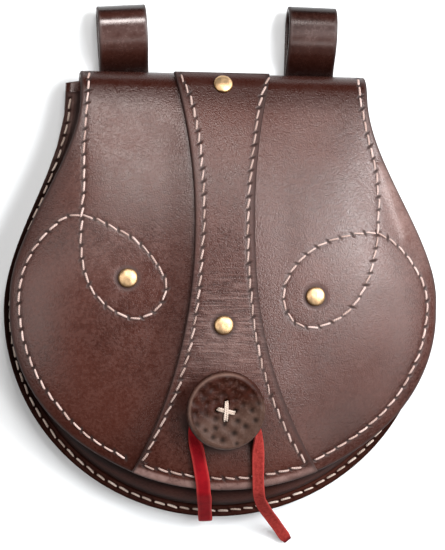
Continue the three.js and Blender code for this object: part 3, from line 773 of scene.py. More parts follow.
stripAbove = gaps["strip"] + leather["strip"]  # mm from the flap's face to the strip's
flangeAbove = leather["back"] + gaps["flange"] + leather["front"]  # and from the back's face to the flange's
carriers = {
    "flap": lambda x, y: overFlap(x, y, 0.0),
    "strip": lambda x, y: overFlap(x, y, stripAbove),
    "flange": lambda x, y: backHeight(x, y) + flangeAbove,
    "back": backHeight,
    "ground": lambda x, y: 0.0 * x,
}

stitchSet = {
    "pitch": 5.5, "spacing": 0.7,  # mm between stitches, and between the points of a seam
    "gap": 0.12,  # share of the pitch between two stitches
    "halfWide": 0.46, "wideVaries": 0.07, "halfHigh": 0.42, "slim": 0.3,  # share that its ends are slimmer
    "slant": 0.2, "slantVaries": 0.09,  # mm that each end stands aside
    "lift": 0.16, "sink": 0.75,
    "uneven": 0.035,  # share of the pitch that an end is off its place
    "stray": 0.1,  # mm that a stitch lies off its line
    "pull": 0.13, "pullWide": 0.8,  # how far it pulls the leather down
    "sideOver": (2.2, 3.2),  # mm off a seam over which its side fades
    "seed": 31, "shift": 9.0,  # mm, at most, that a stitch's strands are shifted along it
}
leftPanelLine = [  # x, y
    (-57.0, 99.6), (-58.0, 86.0), (-59.0, 69.0), (-59.0, 52.0), (-60.0, 36.0), (-59.5, 20.0),
    (-55.0, 8.0), (-47.0, 0.5), (-37.0, -3.0), (-28.5, 1.0), (-24.8, 9.5), (-27.5, 17.5),
    (-36.0, 28.0), (-47.0, 34.5), (-60.0, 39.3), (-68.0, 37.3), (-77.0, 28.0), (-83.0, 17.0),
    (-85.0, 4.0), (-83.0, -12.0), (-77.0, -27.0), (-67.0, -41.0), (-55.0, -52.5), (-40.0, -61.0),
]
rightPanelLine = [
    (57.0, 99.6), (57.5, 88.0), (60.0, 74.0), (63.3, 60.0), (64.3, 46.0), (63.0, 28.5), (58.5, 12.0),
    (51.0, 1.0), (43.0, -4.0), (35.0, -6.0), (27.5, -3.0), (23.7, 5.5), (25.5, 15.0), (33.0, 24.5),
    (45.0, 31.0), (61.0, 34.0), (69.0, 31.3), (78.0, 23.0), (85.0, 11.0), (86.0, 0.0), (83.0, -15.5),
    (74.5, -33.0), (62.0, -46.5), (50.0, -55.0), (38.6, -61.5),
]
stripLeftLine = [
    (-19.0, 99.5), (-14.2, 86.5), (-11.5, 70.0), (-10.0, 50.0), (-10.2, 30.0),
    (-11.8, 8.0), (-15.0, -14.0), (-20.5, -33.0), (-27.0, -48.0), (-33.6, -62.4),
]
stripRightLine = [
    (18.6, 99.5), (14.2, 88.0), (11.2, 70.0), (8.9, 51.0), (8.2, 32.0),
    (9.6, 9.0), (12.4, -11.0), (18.0, -32.0), (24.5, -46.7), (29.3, -55.0), (34.9, -62.4),
]
bottomLine = [(-33.2, -63.6), (-18.0, -67.0), (-4.0, -68.6), (5.0, -68.7), (18.0, -67.2), (33.6, -63.5)]
rimSeam = {"share": 0.972, "top": 89.5, "sideSteps": 14, "roundSteps": 34}


def roundRim(s):  # a line at a share of the rim's outline, down one side, round the bottom, up the other
    sides = np.linspace(s["top"], 0.0, s["sideSteps"])
    turn = np.linspace(0.0, np.pi, s["roundSteps"])[1:-1]
    left, right = (np.stack([way * s["share"] * halfWidth(rim, way, sides), sides], 1) for way in (-1.0, 1.0))
    below = np.stack([-rim["left"][1] * np.cos(turn), -rim["bottom"] * np.sin(turn)], 1) * s["share"]
    return np.concatenate([left, below, right[::-1]])


def outOf(height, x, y, step):  # the way out of a face, from the slopes of its height
    slopeX = height(x + step, y) - height(x - step, y)
    slopeY = height(x, y + step) - height(x, y - step)
    return np.stack([-slopeX, -slopeY, 2 * step + 0.0 * slopeX], -1)


# A seam on a carrier's face: points at even steps, the ways along, out of and across it, and how many
# stitches lie before each.
def seamOn(carrier, line, facing=1.0):
    height, step = carriers[carrier], 0.4
    flat = smoothLine(line)
    rough = np.column_stack([flat, height(flat[:, 0], flat[:, 1])])
    length = wayAlong(rough)[-1]
    at = evenly(rough, int(length / stitchSet["spacing"]))
    out = facing * unit(outOf(height, at[:, 0], at[:, 1], step))
    along = unit(np.gradient(at, axis=0))
    stitches = int(round(length / stitchSet["pitch"]))
    return {"at": at, "along": along, "out": out, "aside": np.cross(out, along),
            "count": np.linspace(0.0, stitches, len(at)), "stitches": stitches}


leftPanel = seamOn("flap", leftPanelLine)
rightPanel = seamOn("flap", rightPanelLine)
stripSeams = [seamOn("strip", line) for line in (stripLeftLine, stripRightLine, bottomLine)]
rimFront = seamOn("flange", roundRim(rimSeam))
rimBack = seamOn("back", roundRim(rimSeam), -1.0)


# For every point of a grid, the nearest place on some seams: stitches along, mm off, and a side that
# fades out past 3 mm, so that it has no jump between two seams.
def seamField(points, seams):
    keys = ("at", "along", "aside", "count")
    at, along, aside, count = (np.concatenate([s[k] for s in seams]) for k in keys)
    spacing, atOnce = stitchSet["spacing"], 1500
    perMm = np.concatenate([np.full(len(s["at"]), s["stitches"] / (spacing * len(s["at"]))) for s in seams])
    flat = points.reshape(-1, 3)
    field = np.empty_like(flat)
    for part in np.array_split(np.arange(len(flat)), len(flat) // atOnce + 1):
        p = flat[part]
        square = (p**2).sum(1)[:, None] + (at**2).sum(1) - 2.0 * p @ at.T
        near = square.argmin(1)
        away = p - at[near]
        off = np.linalg.norm(away, axis=1)
        field[part, 0] = count[near] + (away * along[near]).sum(1) * perMm[near]
        field[part, 1] = off
        field[part, 2] = (away * aside[near]).sum(1) * fall(off, *stitchSet["sideOver"])
    return field.reshape(points.shape)


def seamRelief(field):  # leather pulled down along the thread
    return -stitchSet["pull"] * bell(field[..., 1], stitchSet["pullWide"])


# Stitches: a flattened thread, elliptic across, that rises from one hole and dives into the next: its height
# is lift - sink * |t|^5, with t from -1 to 1 along it. Each is a little aslant, as hand sewing leaves it.
def sew(name, seams, material, s=stitchSet, sides=8, rings=7):
    pointSets, faceSets, capSets, fieldSets, start = [], [], [], [], 0
    t = np.linspace(-1.0, 1.0, rings)
    share, slim = 0.5 + 0.5 * t, 1.0 - s["slim"] * np.abs(t) ** 4
    turn = -np.pi / 2 + around(sides)
    for number, seam in enumerate(seams):
        random = np.random.default_rng(s["seed"] + number)
        n = seam["stitches"]
        ends = np.arange(n)[:, None] + np.array([s["gap"] / 2, 1.0 - s["gap"] / 2])
        ends = ends + random.normal(0.0, s["uneven"], ends.shape)
        place = columnsAt(ends, seam["count"], seam["at"])
        out = unit(columnsAt(np.arange(n) + 0.5, seam["count"], seam["out"]))
        along = unit(place[:, 1] - place[:, 0])
        aside = np.cross(out, along)
        slant = s["slant"] + random.normal(0.0, s["slantVaries"], n)
        stray = random.normal(0.0, s["stray"], (n, 1))
        centre = mix(place[:, :1], place[:, 1:], share[:, None])
        centre = centre - aside[:, None] * (slant[:, None] * t + stray)[..., None]
        centre = centre + out[:, None] * (s["lift"] - s["sink"] * np.abs(t) ** 5)[:, None]
        wide = s["halfWide"] * (1.0 + random.normal(0.0, s["wideVaries"], n))
        across = (wide[:, None, None] * slim[:, None] * np.cos(turn))[..., None] * aside[:, None, None]
        high = (s["halfHigh"] * slim[:, None] * np.sin(turn))[None, ..., None] * out[:, None, None]
        points = centre[:, :, None] + across + high
        index = numbered(points, start)
        size = np.linalg.norm(place[:, 1] - place[:, 0], axis=1)
        field = np.empty(points.shape)
        field[..., 0] = (size[:, None] * share)[..., None] + random.uniform(0.0, s["shift"], (n, 1, 1))
        field[..., 1] = np.arange(sides) / sides
        field[..., 2] = random.uniform(0.0, 1.0, (n, 1, 1))
        pointSets.append(points.reshape(-1, 3))
        faceSets.append(np.concatenate([ringFaces(stitch) for stitch in index]))
        capSets.append(np.concatenate([index[:, 0, ::-1], index[:, -1]]))
        fieldSets.append(field.reshape(-1, 3))
        start += index.size
    points, faces, caps, field = map(np.concatenate, (pointSets, faceSets, capSets, fieldSets))
    makePiece(name, points, [faces, caps], material, "brown_leather", thread=field)


sew("panel_stitches", [leftPanel, rightPanel], linen)
sew("strip_stitches", stripSeams, stripLinen, {**stitchSet, "slant": 0.38})
sew("rim_stitches", [rimFront, rimBack], rimLinen)
print("seams sewn")

rivetPlaces = {"center": (-1.3, -5.2), "left": (-40.8, 13.7), "right": (37.1, 7.1)}  # x, y on the flap
# a ring of painted shade round each rivet's cap, where the leather is also sunk a little
rivetMark = {"radius": 4.5, "wide": 0.8, "dark": 0.8, "sunk": 0.2}


def ringRound(x, y, rivet):  # a ring round a rivet's cap: painted shade on the leather, which is also pressed down there
    atX, atY = rivetPlaces[rivet]
    return bell(np.hypot(x - atX, y - atY) - rivetMark["radius"], rivetMark["wide"])


def patches(x, y, spots):  # the sum of soft round spots
    return sum(much * bell(np.hypot(x - atX, y - atY), wide) for atX, atY, wide, much in spots)


def offsetLine(y, z, distance):  # the line moved to its left by a distance
    ahead = np.diff(np.stack([y, z], 1), axis=0)
    left = unit(np.stack([-ahead[:, 1], ahead[:, 0]], 1))
    before = np.concatenate([left[:1], left])
    after = np.concatenate([left, left[-1:]])
    mitre = (before + after) / (1.0 + (before * after).sum(1, keepdims=True))
    return y + distance * mitre[:, 0], z + distance * mitre[:, 1]


# Columns from -1 to 1: even ones, then crowded ones at the edges, so that those can be rounded.
def columns(even, count, crowded):
    half = np.concatenate([np.linspace(0.0, even, count), crowded])
    return np.concatenate([-half[:0:-1], half])


flapSet = {
    "columns": (0.983, 116, (0.9925, 0.996, 0.9985, 0.9996, 1.0)),
    "tip": 87.0,  # degrees round the bottom that the rows go
    "rows": {"lowBack": 25, "back": 29, "notch": 5, "corner": 9, "crest": 5, "front": 21, "flap": 117,
             "lowFlap": 125},
    "round": 0.8,
    "creaseLine": [(64.6, 61.5), (68.6, 53.5), (72.8, 42.5), (76.6, 31.5)],  # a bend in the right shoulder, with a painted highlight along it
    "creasePoints": 60, "creaseEvery": 4, "creaseRise": 0.45, "creaseWide": 2.2, "creaseWorn": 0.22,
    "rubbed": [  # painted highlights: x, y, radius, share
        (-48.0, 22.0, 15.0, 0.1), (44.0, 14.0, 18.0, 0.1), (72.0, 6.0, 14.0, 0.06),
        (70.0, 54.0, 9.0, 0.15), (77.0, 40.0, 10.0, 0.17), (84.0, 24.0, 8.0, 0.1),
    ],
    "soiled": [(54.0, -50.0, 17.0, 0.6)],  # the same, in painted shade instead
    "darkMargin": 0.6, "marginOver": (2.0, 8.0),  # painted shade along its left edge
    # painted shade under the fold's crest and beside the strip's left edge
    "darkFold": (80.0, 92.0), "besideStrip": 0.5, "besideReach": 9.0, "darkEdge": 0.9,
}


# Rows of the one piece of leather, from the back's tip up the back, round the fold and down the flap:
# y and z on its middle line, where they are, and both half-widths.
def backAndFlapRows():
    f, rows, tip, backTop = foldSet, flapSet["rows"], np.radians(flapSet["tip"]), backSet["top"]
    cornerY, cornerZ = f["crest"] - f["backRadius"], backSet["raise"] + f["backRadius"]
    lowBack = -rim["bottom"] * np.sin(np.linspace(tip, 0.0, rows["lowBack"]))
    backY = np.concatenate([lowBack[:-1], np.linspace(0.0, backTop, rows["back"])])
    notch = np.linspace(0.0, 1.0, rows["notch"])[1:]  # share of the way from the rim's width to the flap's
    backTurn = np.radians(np.linspace(-90.0, 0.0, rows["corner"]))[1:]
    crestZ = np.linspace(cornerZ, foldMiddle, rows["crest"])[1:-1]
    frontTurn = np.linspace(0.0, np.pi / 2 - foldLean, rows["front"])
    lowFlap = -flap["bottom"] * np.sin(np.linspace(0.0, tip, rows["lowFlap"]))
    flapY = np.concatenate([np.linspace(flapStart, 0.0, rows["flap"])[1:], lowFlap[1:]])

    def corner(y, z, radius, turn):
        return y + radius * np.cos(turn), z + radius * np.sin(turn), 1.0, 1

    runs = [  # y, z, share of the flap's width, and 0 on the back, 1 on the fold or 2 on the flap
        (backY, backHeight(0.0, backY), 0.0, 0),
        (mix(backTop, cornerY, notch), backSet["raise"], notch, 1),
        corner(cornerY, cornerZ, f["backRadius"], backTurn),
        (f["crest"] + 0.0 * crestZ, crestZ, 1.0, 1),
        corner(foldFront, foldMiddle, f["frontRadius"], frontTurn),
        (flapY, flapHeight(0.0, flapY), 1.0, 2),
    ]
    y, z, share, zone = (np.concatenate([run[k] + 0.0 * run[0] for run in runs]) for k in range(4))
    widths = [mix(halfWidth(rim, side, np.minimum(y, backTop)), halfWidth(flap, side, y), share)
              for side in (-1.0, 1.0)]
    return y, z, zone, widths


def makeBackAndFlap(s):
    y, z, zone, (leftWide, rightWide) = backAndFlapRows()
    across = columns(*s["columns"])
    x = np.where(across < 0, leftWide[:, None], rightWide[:, None]) * across
    rowY = spread(y, len(across))
    isBack, isFold, isFlap = ((zone == k)[:, None] for k in range(3))
    lift = np.where(isBack, backHeight(x, rowY) - backHeight(0.0, rowY), 0.0)
    lift = np.where(isFlap, flapHeight(x, rowY) - flapHeight(0.0, rowY), lift)
    innerY, innerZ = offsetLine(y, z, leather["back"])
    outer = np.stack([x, rowY, z[:, None] + lift], -1)
    inner = np.stack([x, spread(innerY, len(across)), innerZ[:, None] + lift], -1)
    foldEdge = (1.0 - np.abs(across)) * np.minimum(leftWide, rightWide)[:, None]
    edge = np.where(isFlap, edgeDistance(flap, x, rowY), foldEdge)
    edge = np.where(isBack, edgeDistance(rim, x, rowY), edge)
    inFront = outer[..., 2] > foldMiddle
    onFlap = isFlap | (isFold & inFront)
    swayed = sway(x, rowY) * isFlap
    moved = outer + np.stack([0 * x, 0 * x, swayed], -1)
    seam = np.where(onFlap[..., None], seamField(moved, [leftPanel, rightPanel]), seamField(outer, [rimBack]))
    ridge = evenly(smoothLine(s["creaseLine"]), s["creasePoints"])[:: s["creaseEvery"]]
    away = np.sqrt(((np.stack([x, rowY], -1)[:, :, None] - ridge) ** 2).sum(-1).min(-1))
    bend = bell(away, s["creaseWide"]) * isFlap
    ring = (ringRound(x, rowY, "left") + ringRound(x, rowY, "right")) * isFlap
    relief = seamRelief(seam) * (onFlap | isBack) + swayed
    relief = relief + s["creaseRise"] * bend - rivetMark["sunk"] * ring
    # Painted shade in patches, along the left margin, beside the strip and under the fold's crest; painted
    # highlights along the shoulder's bend and in patches.
    soiled = patches(x, rowY, s["soiled"]) + s["darkMargin"] * (x < 0) * fall(edge, *s["marginOver"])
    beside = s["besideStrip"] * bell(leftOfStrip(x, rowY), s["besideReach"])
    soiled = np.maximum(np.minimum(soiled, 1.0), beside)
    crease = np.maximum(smoothStep(rowY, *s["darkFold"]) * onFlap * inFront, soiled * isFlap)
    makeLeather(
        "back_and_flap_leather", "back_and_flap", brownLeather, "brown_leather", (outer, inner), edge,
        s["round"], relief, seam=seam, crease=crease,
        edge=np.maximum(bell(edge, s["darkEdge"]), rivetMark["dark"] * ring),
        worn=s["creaseWorn"] * bend + patches(x, rowY, s["rubbed"]) * isFlap,
    )


makeBackAndFlap(flapSet)
print("back and flap folded")

bowlSet = {
    "mouth": 92.0, "mouthRise": 9.5, "rise": 31.5, "belly": 10.0, "swell": 1.5,
    "seam": 0.945, "fullness": 5.0,
    "bend": 1.6, "round": 0.7,  # radius between the wall and the flange, and of its edges
    "foot": 0.85, "footAt": 5.6, "footWide": 1.5,  # painted shade at the foot of the wall, mm in from the rim
    "shadeAt": 0.5, "shadeWide": 2.2,  # and painted shadow under the flap's edge, mm out from it
    # a painted highlight on the flange near the shoulders
    "worn": 0.5, "wornFrom": (20.0, 60.0), "wornOver": (4.0, 8.0), "darkEdge": 1.4,
    "mouthRays": (0.0, 0.08, 0.25, 0.5, 0.9), "nextRay": 1.5,  # mm below the mouth
    "sideRays": 52, "fanRays": 160, "wall": 40, "bendSteps": 8,
    "flange": (0.35, 0.62, 0.8, 0.88, 0.94, 0.98, 0.995, 1.0),  # shares of its width
}


# The moulded front: rays from its middle line to the rim. Along each, out = seam * sin(t)^(2 / fullness)
# and height = rise * cos(t), then a small bend and the flat flange that is sewn to the back.
def makeFrontPanel(s):
    down = s["mouth"] - np.concatenate([s["mouthRays"], np.linspace(s["nextRay"], s["mouth"], s["sideRays"])])
    turn = np.linspace(0.0, np.pi, s["fanRays"] + 1)[1:-1]
    right, left = (np.stack([down, way * halfWidth(rim, way, down), 0 * down], 1) for way in (1.0, -1.0))
    fan = np.stack([0 * turn, rim["right"][1] * np.cos(turn), -rim["bottom"] * np.sin(turn)], 1)
    startY, dx, dy = np.concatenate([right, fan, left[::-1]]).T[:, :, None]
    length = np.hypot(dx, dy)
    upper = np.clip((startY - s["belly"]) / (s["mouth"] - s["belly"]), 0.0, 1.0)
    rise = mix(s["rise"], s["mouthRise"], upper ** s["swell"])
    t = np.linspace(0.0, 1.0, s["wall"] + 1) * np.arccos(s["bend"] / rise)
    wallOut = s["seam"] * length * np.sin(t) ** (2.0 / s["fullness"])
    wallUp = rise * np.cos(t)
    turn = np.linspace(0.0, np.pi / 2, s["bendSteps"] + 1)[1:]
    bendOut = wallOut[:, -1:] + s["bend"] * (1.0 - np.cos(turn))
    bendUp = wallUp[:, -1:] - s["bend"] * np.sin(turn)
    flangeOut = mix(bendOut[:, -1:], length, np.array(s["flange"]))
    out = np.concatenate([wallOut, bendOut, flangeOut], 1)
    up = np.concatenate([wallUp, bendUp, 0.0 * flangeOut], 1)
    slopeOut, slopeUp = np.gradient(out, axis=1), np.gradient(up, axis=1)
    norm = np.maximum(np.hypot(slopeOut, slopeUp), tiny)
    underOut = out + leather["front"] * slopeUp / norm
    underUp = up - leather["front"] * slopeOut / norm
    underOut[:, [0, -1]] = out[:, [0, -1]] * (0.0, 1.0)
    underUp[:, [0, -1]] = up[:, [0, -1]] - leather["front"]

    def place(out, up):
        x = out / length * dx
        y = startY + out / length * dy
        return np.stack([x, y, backHeight(x, y) + flangeAbove + up], -1)

    outer = place(out, up)
    x, y = outer[..., 0], outer[..., 1]
    edge = np.minimum(edgeDistance(rim, x, y), s["mouth"] - startY)
    seam = seamField(outer, [rimFront])
    # painted shade at the wall's foot and painted shadow under the flap's edge
    foot = s["foot"] * bell(edge - s["footAt"], s["footWide"])
    shaded = bell((reach(flap, x, y) - 1.0) * flap["bottom"] - s["shadeAt"], s["shadeWide"])
    makeLeather(
        "front_panel_leather", "front_panel", frontLeather, "brown_leather",
        (outer, place(underOut, underUp)), edge, s["round"], seamRelief(seam), walls=3,
        seam=seam, edge=bell(edge, s["darkEdge"]),
        worn=s["worn"] * smoothStep(y, *s["wornFrom"]) * fall(edge, *s["wornOver"]),
        crease=np.maximum(foot, shaded),
    )


makeFrontPanel(bowlSet)
print("front panel moulded")

buttonSet = {
    "x": -1.0, "y": -38.9, "radius": 16.2, "thick": 5.6, "dish": 1.6, "top": 0.86,  # top: share of the radius
    "side": [  # shares of the radius and the thickness, round its edge
        (0.84, 0.0), (0.95, 0.12), (1.0, 0.42), (0.98, 0.74), (0.93, 0.94), (0.86, 1.0),
    ],
    "sideSteps": 6, "underRing": 0.4, "topFrom": 0.7,  # shares of the radius and the thickness
    "hole": 0.9, "holeCircle": 3.8, "holeDeep": 1.6,
    "tries": 480, "apart": 3.7, "clear": 4.6, "within": 0.88, "pitSize": (0.9, 1.3), "pitDeep": (0.45, 0.75),
    "lump": 0.14, "lumpsA": (0.9, 0.4), "lumpsB": (1.1, 1.2),  # mm high, waves per mm and their starts
    "brim": 0.93, "brimWide": 0.6, "brimPale": 0.6, "brimOver": (0.0, 14.58),  # a painted highlight on its upper left edge
    # the face painted lit on its lower half and shaded on its upper half; pits painted darker in the lit
    # half, and the lower side painted in shade
    "dullSlope": 0.35, "dullOver": (-4.0, 5.0), "polishedPit": 0.35, "underOver": (2.0, 10.0),
    "sides": 160, "rings": 64, "seed": 8, "gap": 0.6,  # mm from the spacer
}


# The strip's rows follow the flap's, and its half-width is held inside the flap's outline.
def makeStrip(s):
    foldRows, flapRows, lowRows = s["rows"]
    turn = np.linspace(np.radians(s["startAngle"]), np.pi / 2 - foldLean, foldRows)
    lowY = -stripRim["bottom"] * np.sin(np.linspace(0.0, np.radians(s["tip"]), lowRows))[1:]
    flatY = np.concatenate([np.linspace(flapStart, 0.0, flapRows)[1:], lowY])
    y = np.concatenate([foldFront + foldSet["frontRadius"] * np.cos(turn), flatY])
    z = np.concatenate([foldMiddle + foldSet["frontRadius"] * np.sin(turn), flapHeight(s["middle"], flatY)])
    flared = stripWidth(y)
    aside = stripMiddle(y) - s["middle"]
    leftWide = np.minimum(flared - aside, halfWidth(stripRim, -1.0, y) + s["middle"])
    rightWide = np.minimum(flared + aside, halfWidth(stripRim, 1.0, y) - s["middle"])
    across = columns(*s["columns"])
    x = s["middle"] + np.where(across < 0, leftWide[:, None], rightWide[:, None]) * across
    rowY = spread(y, len(across))
    beside = flapHeight(x, rowY) - flapHeight(s["middle"], rowY)
    lift = np.where(rowY < flapStart, beside, 0.0) + sway(x, rowY)

    def face(above):
        lineY, lineZ = offsetLine(y, z, -above)
        return np.stack([x, spread(lineY, len(across)), lineZ[:, None] + lift], -1)

    outer = face(stripAbove)
    lean = np.abs(np.gradient(flared, y))[:, None]
    sideEdge = (flared[:, None] - np.abs(x - stripMiddle(rowY))) / np.sqrt(1.0 + lean**2)
    fromTop = np.concatenate([turn - turn[0], np.full(len(flatY), farOff)])[:, None]
    rimEdge = edgeDistance(stripRim, x, rowY)
    edge = np.minimum(np.minimum(sideEdge, foldSet["frontRadius"] * fromTop), rimEdge)
    edge = np.maximum(edge, 0.0)
    seam = seamField(outer, stripSeams)
    # a painted highlight on the lower margin
    foot = s["foot"] * fall(rimEdge, *s["footOver"]) * (rowY < s["footBelow"])
    # painted shadow under the button, and painted shade round the rivet and along the right edge, all in the
    # dark of the edge
    fromButton = np.hypot(x - buttonSet["x"], rowY - buttonSet["y"]) - buttonSet["radius"]
    stain = fall(fromButton, *s["buttonOver"]) * smoothStep(buttonSet["y"] - rowY, *s["buttonBelow"])
    ring = ringRound(x, rowY, "center")
    stain = np.maximum(stain, rivetMark["dark"] * ring)
    stain = np.maximum(stain, bell(edge, np.where(x > s["middle"], *s["darkEdge"])))
    makeLeather(
        "center_strip_leather", "center_strip", stripLeather, "brown_leather",
        (outer, face(s["clear"])), edge, s["round"], seamRelief(seam) - rivetMark["sunk"] * ring, every=2,
        seam=seam, edge=stain,
        worn=foot + patches(x, rowY, s["rubbed"]),
        crease=smoothStep(rowY, *s["darkFold"]) + s["band"] * bell(rowY - s["bandY"], s["bandReach"]),
        wrinkled=bell(rowY - s["wrinkleY"], s["wrinkleReach"]),
    )


makeStrip(stripSet)
print("strip laid")

loopSet = {
    "width": 20.8, "bend": 7.2, "oval": 2.4, "end": 68.0, "leaves": 96.0,  # oval: mm that the bend is longer
    "points": (25, 33, 33, 13),  # of its line: on the ground, round the bend, down the curve, at the end
    "rows": 201, "columns": (0.9, 16, (0.93, 0.955, 0.975, 0.99, 0.998, 1.0)), "round": 0.7,
    "darkBelow": (101.0, 113.0), "darkTop": (5.3, 2.3),  # painted shade: y below which it goes behind the fold, and mm below its top
    # a painted highlight band a little below its top
    "worn": 0.1, "wornAt": 13.8, "wornReach": 4.0, "darkEdge": 0.9,
}
loops = [  # node, x, y of its top, splay in degrees, leather
    ("belt_loop_left", -41.1, 129.5, 4.3, loopLeather),
    ("belt_loop_right", 38.5, 130.8, -0.9, darkLoopLeather),
]
loopSeam = {
    "across": 7.0, "low": 72.0, "high": 90.0,  # the box: mm from the loop's middle, and y
    "sunk": 0.62, "wide": 0.9, "lift": -0.45,  # the groove that its stitches lie in
}


# The strap's middle line from the side: along the ground, round half an oval at the top, and back down
# a cubic curve to the pouch.
def loopLine(s, top):
    half = leather["loop"] / 2
    radius, bendY = s["bend"] - half, top - s["bend"] - s["oval"]
    high, low = s["bend"] + radius, leather["loop"] + gaps["loop"] + half
    onGround, onBend, onCurve, onEnd = s["points"]
    groundY = np.linspace(s["end"], bendY, onGround)
    turn = np.linspace(-np.pi / 2, np.pi / 2, onBend)[1:]
    bend = np.stack([bendY + (radius + s["oval"]) * np.cos(turn), s["bend"] + radius * np.sin(turn)], 1)
    pull = (bendY - s["leaves"]) / 2
    t = np.linspace(0.0, 1.0, onCurve)[1:, None]
    corners = np.array([(bendY, high), (bendY - pull, high), (s["leaves"] + pull, low), (s["leaves"], low)])
    weights = np.concatenate([(1 - t) ** 3, 3 * t * (1 - t) ** 2, 3 * t**2 * (1 - t), t**3], 1)
    endY = np.linspace(s["leaves"], s["end"], onEnd)[1:]
    ground, end = (np.stack([y, z + 0.0 * y], 1) for y, z in ((groundY, half), (endY, low)))
    return np.concatenate([ground, bend, weights @ corners, end])


# A place in a loop's own frame, turned by its splay about the point under the fold's crest.
def onLoop(side, y, x, splay):
    c, s, up = np.cos(np.radians(splay)), np.sin(np.radians(splay)), y - foldSet["crest"]
    return x + side * c - up * s, foldSet["crest"] + side * s + up * c


# The box of stitches that holds a loop's two ends to the back, four straight rows on its lower face.
def loopBox(s, x, splay):
    wide, low, high = s["across"], s["low"], s["high"]
    places = ((-wide, low), (wide, low), (wide, high), (-wide, high))
    corners = [onLoop(*place, x, splay) for place in places]
    return [seamOn("ground", row, -1.0) for row in zip(corners, corners[1:] + corners[:1])]


def makeLoop(s, name, x, top, splay, material, box):
    line = evenly(loopLine(s, top), s["rows"])
    across = columns(*s["columns"])[None] * s["width"] / 2

    def place(distance):
        y, z = (spread(v, across.size) for v in offsetLine(line[:, 0], line[:, 1], distance))
        return np.stack([*onLoop(across + 0.0 * y, y, x, splay), z], -1)

    outer, inner = place(-leather["loop"] / 2), place(leather["loop"] / 2)
    gone = wayAlong(line)
    edge = np.minimum(s["width"] / 2 - np.abs(across), np.minimum(gone, gone[-1] - gone)[:, None])
    seam = seamField(outer, box)
    lineY = spread(line[:, 0], across.size)
    makeLeather(
        name + "_strap", name, material, "loop_leather", (outer, inner), edge, s["round"],
        -loopSeam["sunk"] * bell(seam[..., 1], loopSeam["wide"]), every=2,
        seam=seam, edge=bell(edge, s["darkEdge"]),
        worn=s["worn"] * bell(top - lineY - s["wornAt"], s["wornReach"]),
        crease=np.maximum(fall(lineY, *s["darkBelow"]), smoothStep(top - lineY, *s["darkTop"])),
    )


loopBoxes = [loopBox(loopSeam, x, splay) for _, x, _, splay, _ in loops]
for loop, box in zip(loops, loopBoxes):
    makeLoop(loopSet, *loop, box)
sew("loop_stitches", sum(loopBoxes, []), rimLinen, {**stitchSet, "lift": loopSeam["lift"]})
print("belt loops bent and sewn")


def standing(origin, out):  # a place, with two ways along the leather there and one out of it
    out = unit(np.asarray(out, float))
    right = unit(np.cross((0.0, 1.0, 0.0), out))
    return origin, right, np.cross(out, right), out


def flapFrame(x, y):
    step = 0.5
    return standing(np.array([x, y, float(flapHeight(x, y))]), outOf(flapHeight, x, y, step))


def foldFrame(x, tilt):
    out = np.array([0.0, np.sin(np.radians(tilt)), np.cos(np.radians(tilt))])
    return standing(np.array([x, foldFront, foldMiddle]) + foldSet["frontRadius"] * out, out)


# A profile (radius, height) turned round an axis that stands on the leather: its points, and the ways that
# each of them is right of and up from the axis.
def turned(frameHere, profile, seat, sides):
    origin, right, up, out = frameHere
    radius, height = np.asarray(profile, float).T
    turn = around(sides)
    a, b = radius[:, None] * np.cos(turn), radius[:, None] * np.sin(turn)
    h = seat + height[:, None] + 0.0 * a
    return origin + a[..., None] * right + b[..., None] * up + h[..., None] * out, a, b


rivetSet = {
    "cap": 4.0, "high": 2.0, "domeFrom": 0.4, "full": 0.8, "domeSteps": 18,
    "roll": (0.25, 0.05, 0.25),  # of the cap's edge: mm in, and z below and above
    "post": 1.4, "postTop": 0.1, "head": 3.2, "headHigh": 0.7, "bevel": (0.2, 0.3),  # mm in and down
    "dent": 0.05, "dentWaves": (2.1, 1.7), "dentWithin": 0.97, "dentAbove": 0.5,
    "darkWide": 0.35, "darkFrom": -0.5, "darkBelow": 0.2, "sides": 40, "topTilt": 25.0,
}
rivets = [("rivet_top", foldFrame(stripSet["middle"], rivetSet["topTilt"]), stripAbove, 1.1)]
for side, under in (("center", stripAbove), ("left", 0.0), ("right", 0.0)):
    place = rivetPlaces[side]
    rivets.append(("rivet_" + side, flapFrame(*place), under + sway(*place), 0.4))


# A rivet: a dome whose height goes with (1 - (r / cap)^2)^0.4, a rolled edge, a post and a flat head, which
# is a little clear of the leather. Light hammer marks are up to 0.1 mm deep.
def makeRivet(s, name, frameHere, seat, clear, number):
    back = -(seat + leather["back"] + clear)
    cap, head, low = s["cap"], s["head"], back - s["headHigh"]
    (bevel, edge), (rollIn, rollLow, rollHigh) = s["bevel"], s["roll"]
    turn = np.linspace(0.0, np.pi / 2, s["domeSteps"])
    dome = np.stack([cap * np.cos(turn), mix(s["domeFrom"], s["high"], np.sin(turn) ** s["full"])], 1)
    stem = [(0.0, low), (head - bevel, low), (head, back - edge), (head - bevel, back),
            (s["post"], back), (s["post"], s["postTop"]), (cap - rollIn, rollLow), (cap, rollHigh)]
    profile = np.concatenate([stem, dome])
    points, a, b = turned(frameHere, profile, seat, s["sides"])
    high, out = spread(profile[:, 1], s["sides"]), np.hypot(a, b)
    waveA, waveB = s["dentWaves"]
    dents = -s["dent"] * (1 + np.sin(a * waveA + number)) * (1 + np.sin(b * waveB + 2.0 * number)) / 2
    dents = dents * (out < cap * s["dentWithin"]) * (high > s["dentAbove"])
    dark = bell(out - cap, s["darkWide"]) * (high > s["darkFrom"]) + (high < s["darkBelow"])
    points = points + dents[..., None] * frameHere[3]
    faces = [ringFaces(numbered(points))]
    makePiece(name + "_brass", points, faces, brass, "brass", [name], edge=np.clip(dark, 0, 1))


for number, rivet in enumerate(rivets):
    makeRivet(rivetSet, *rivet, number)

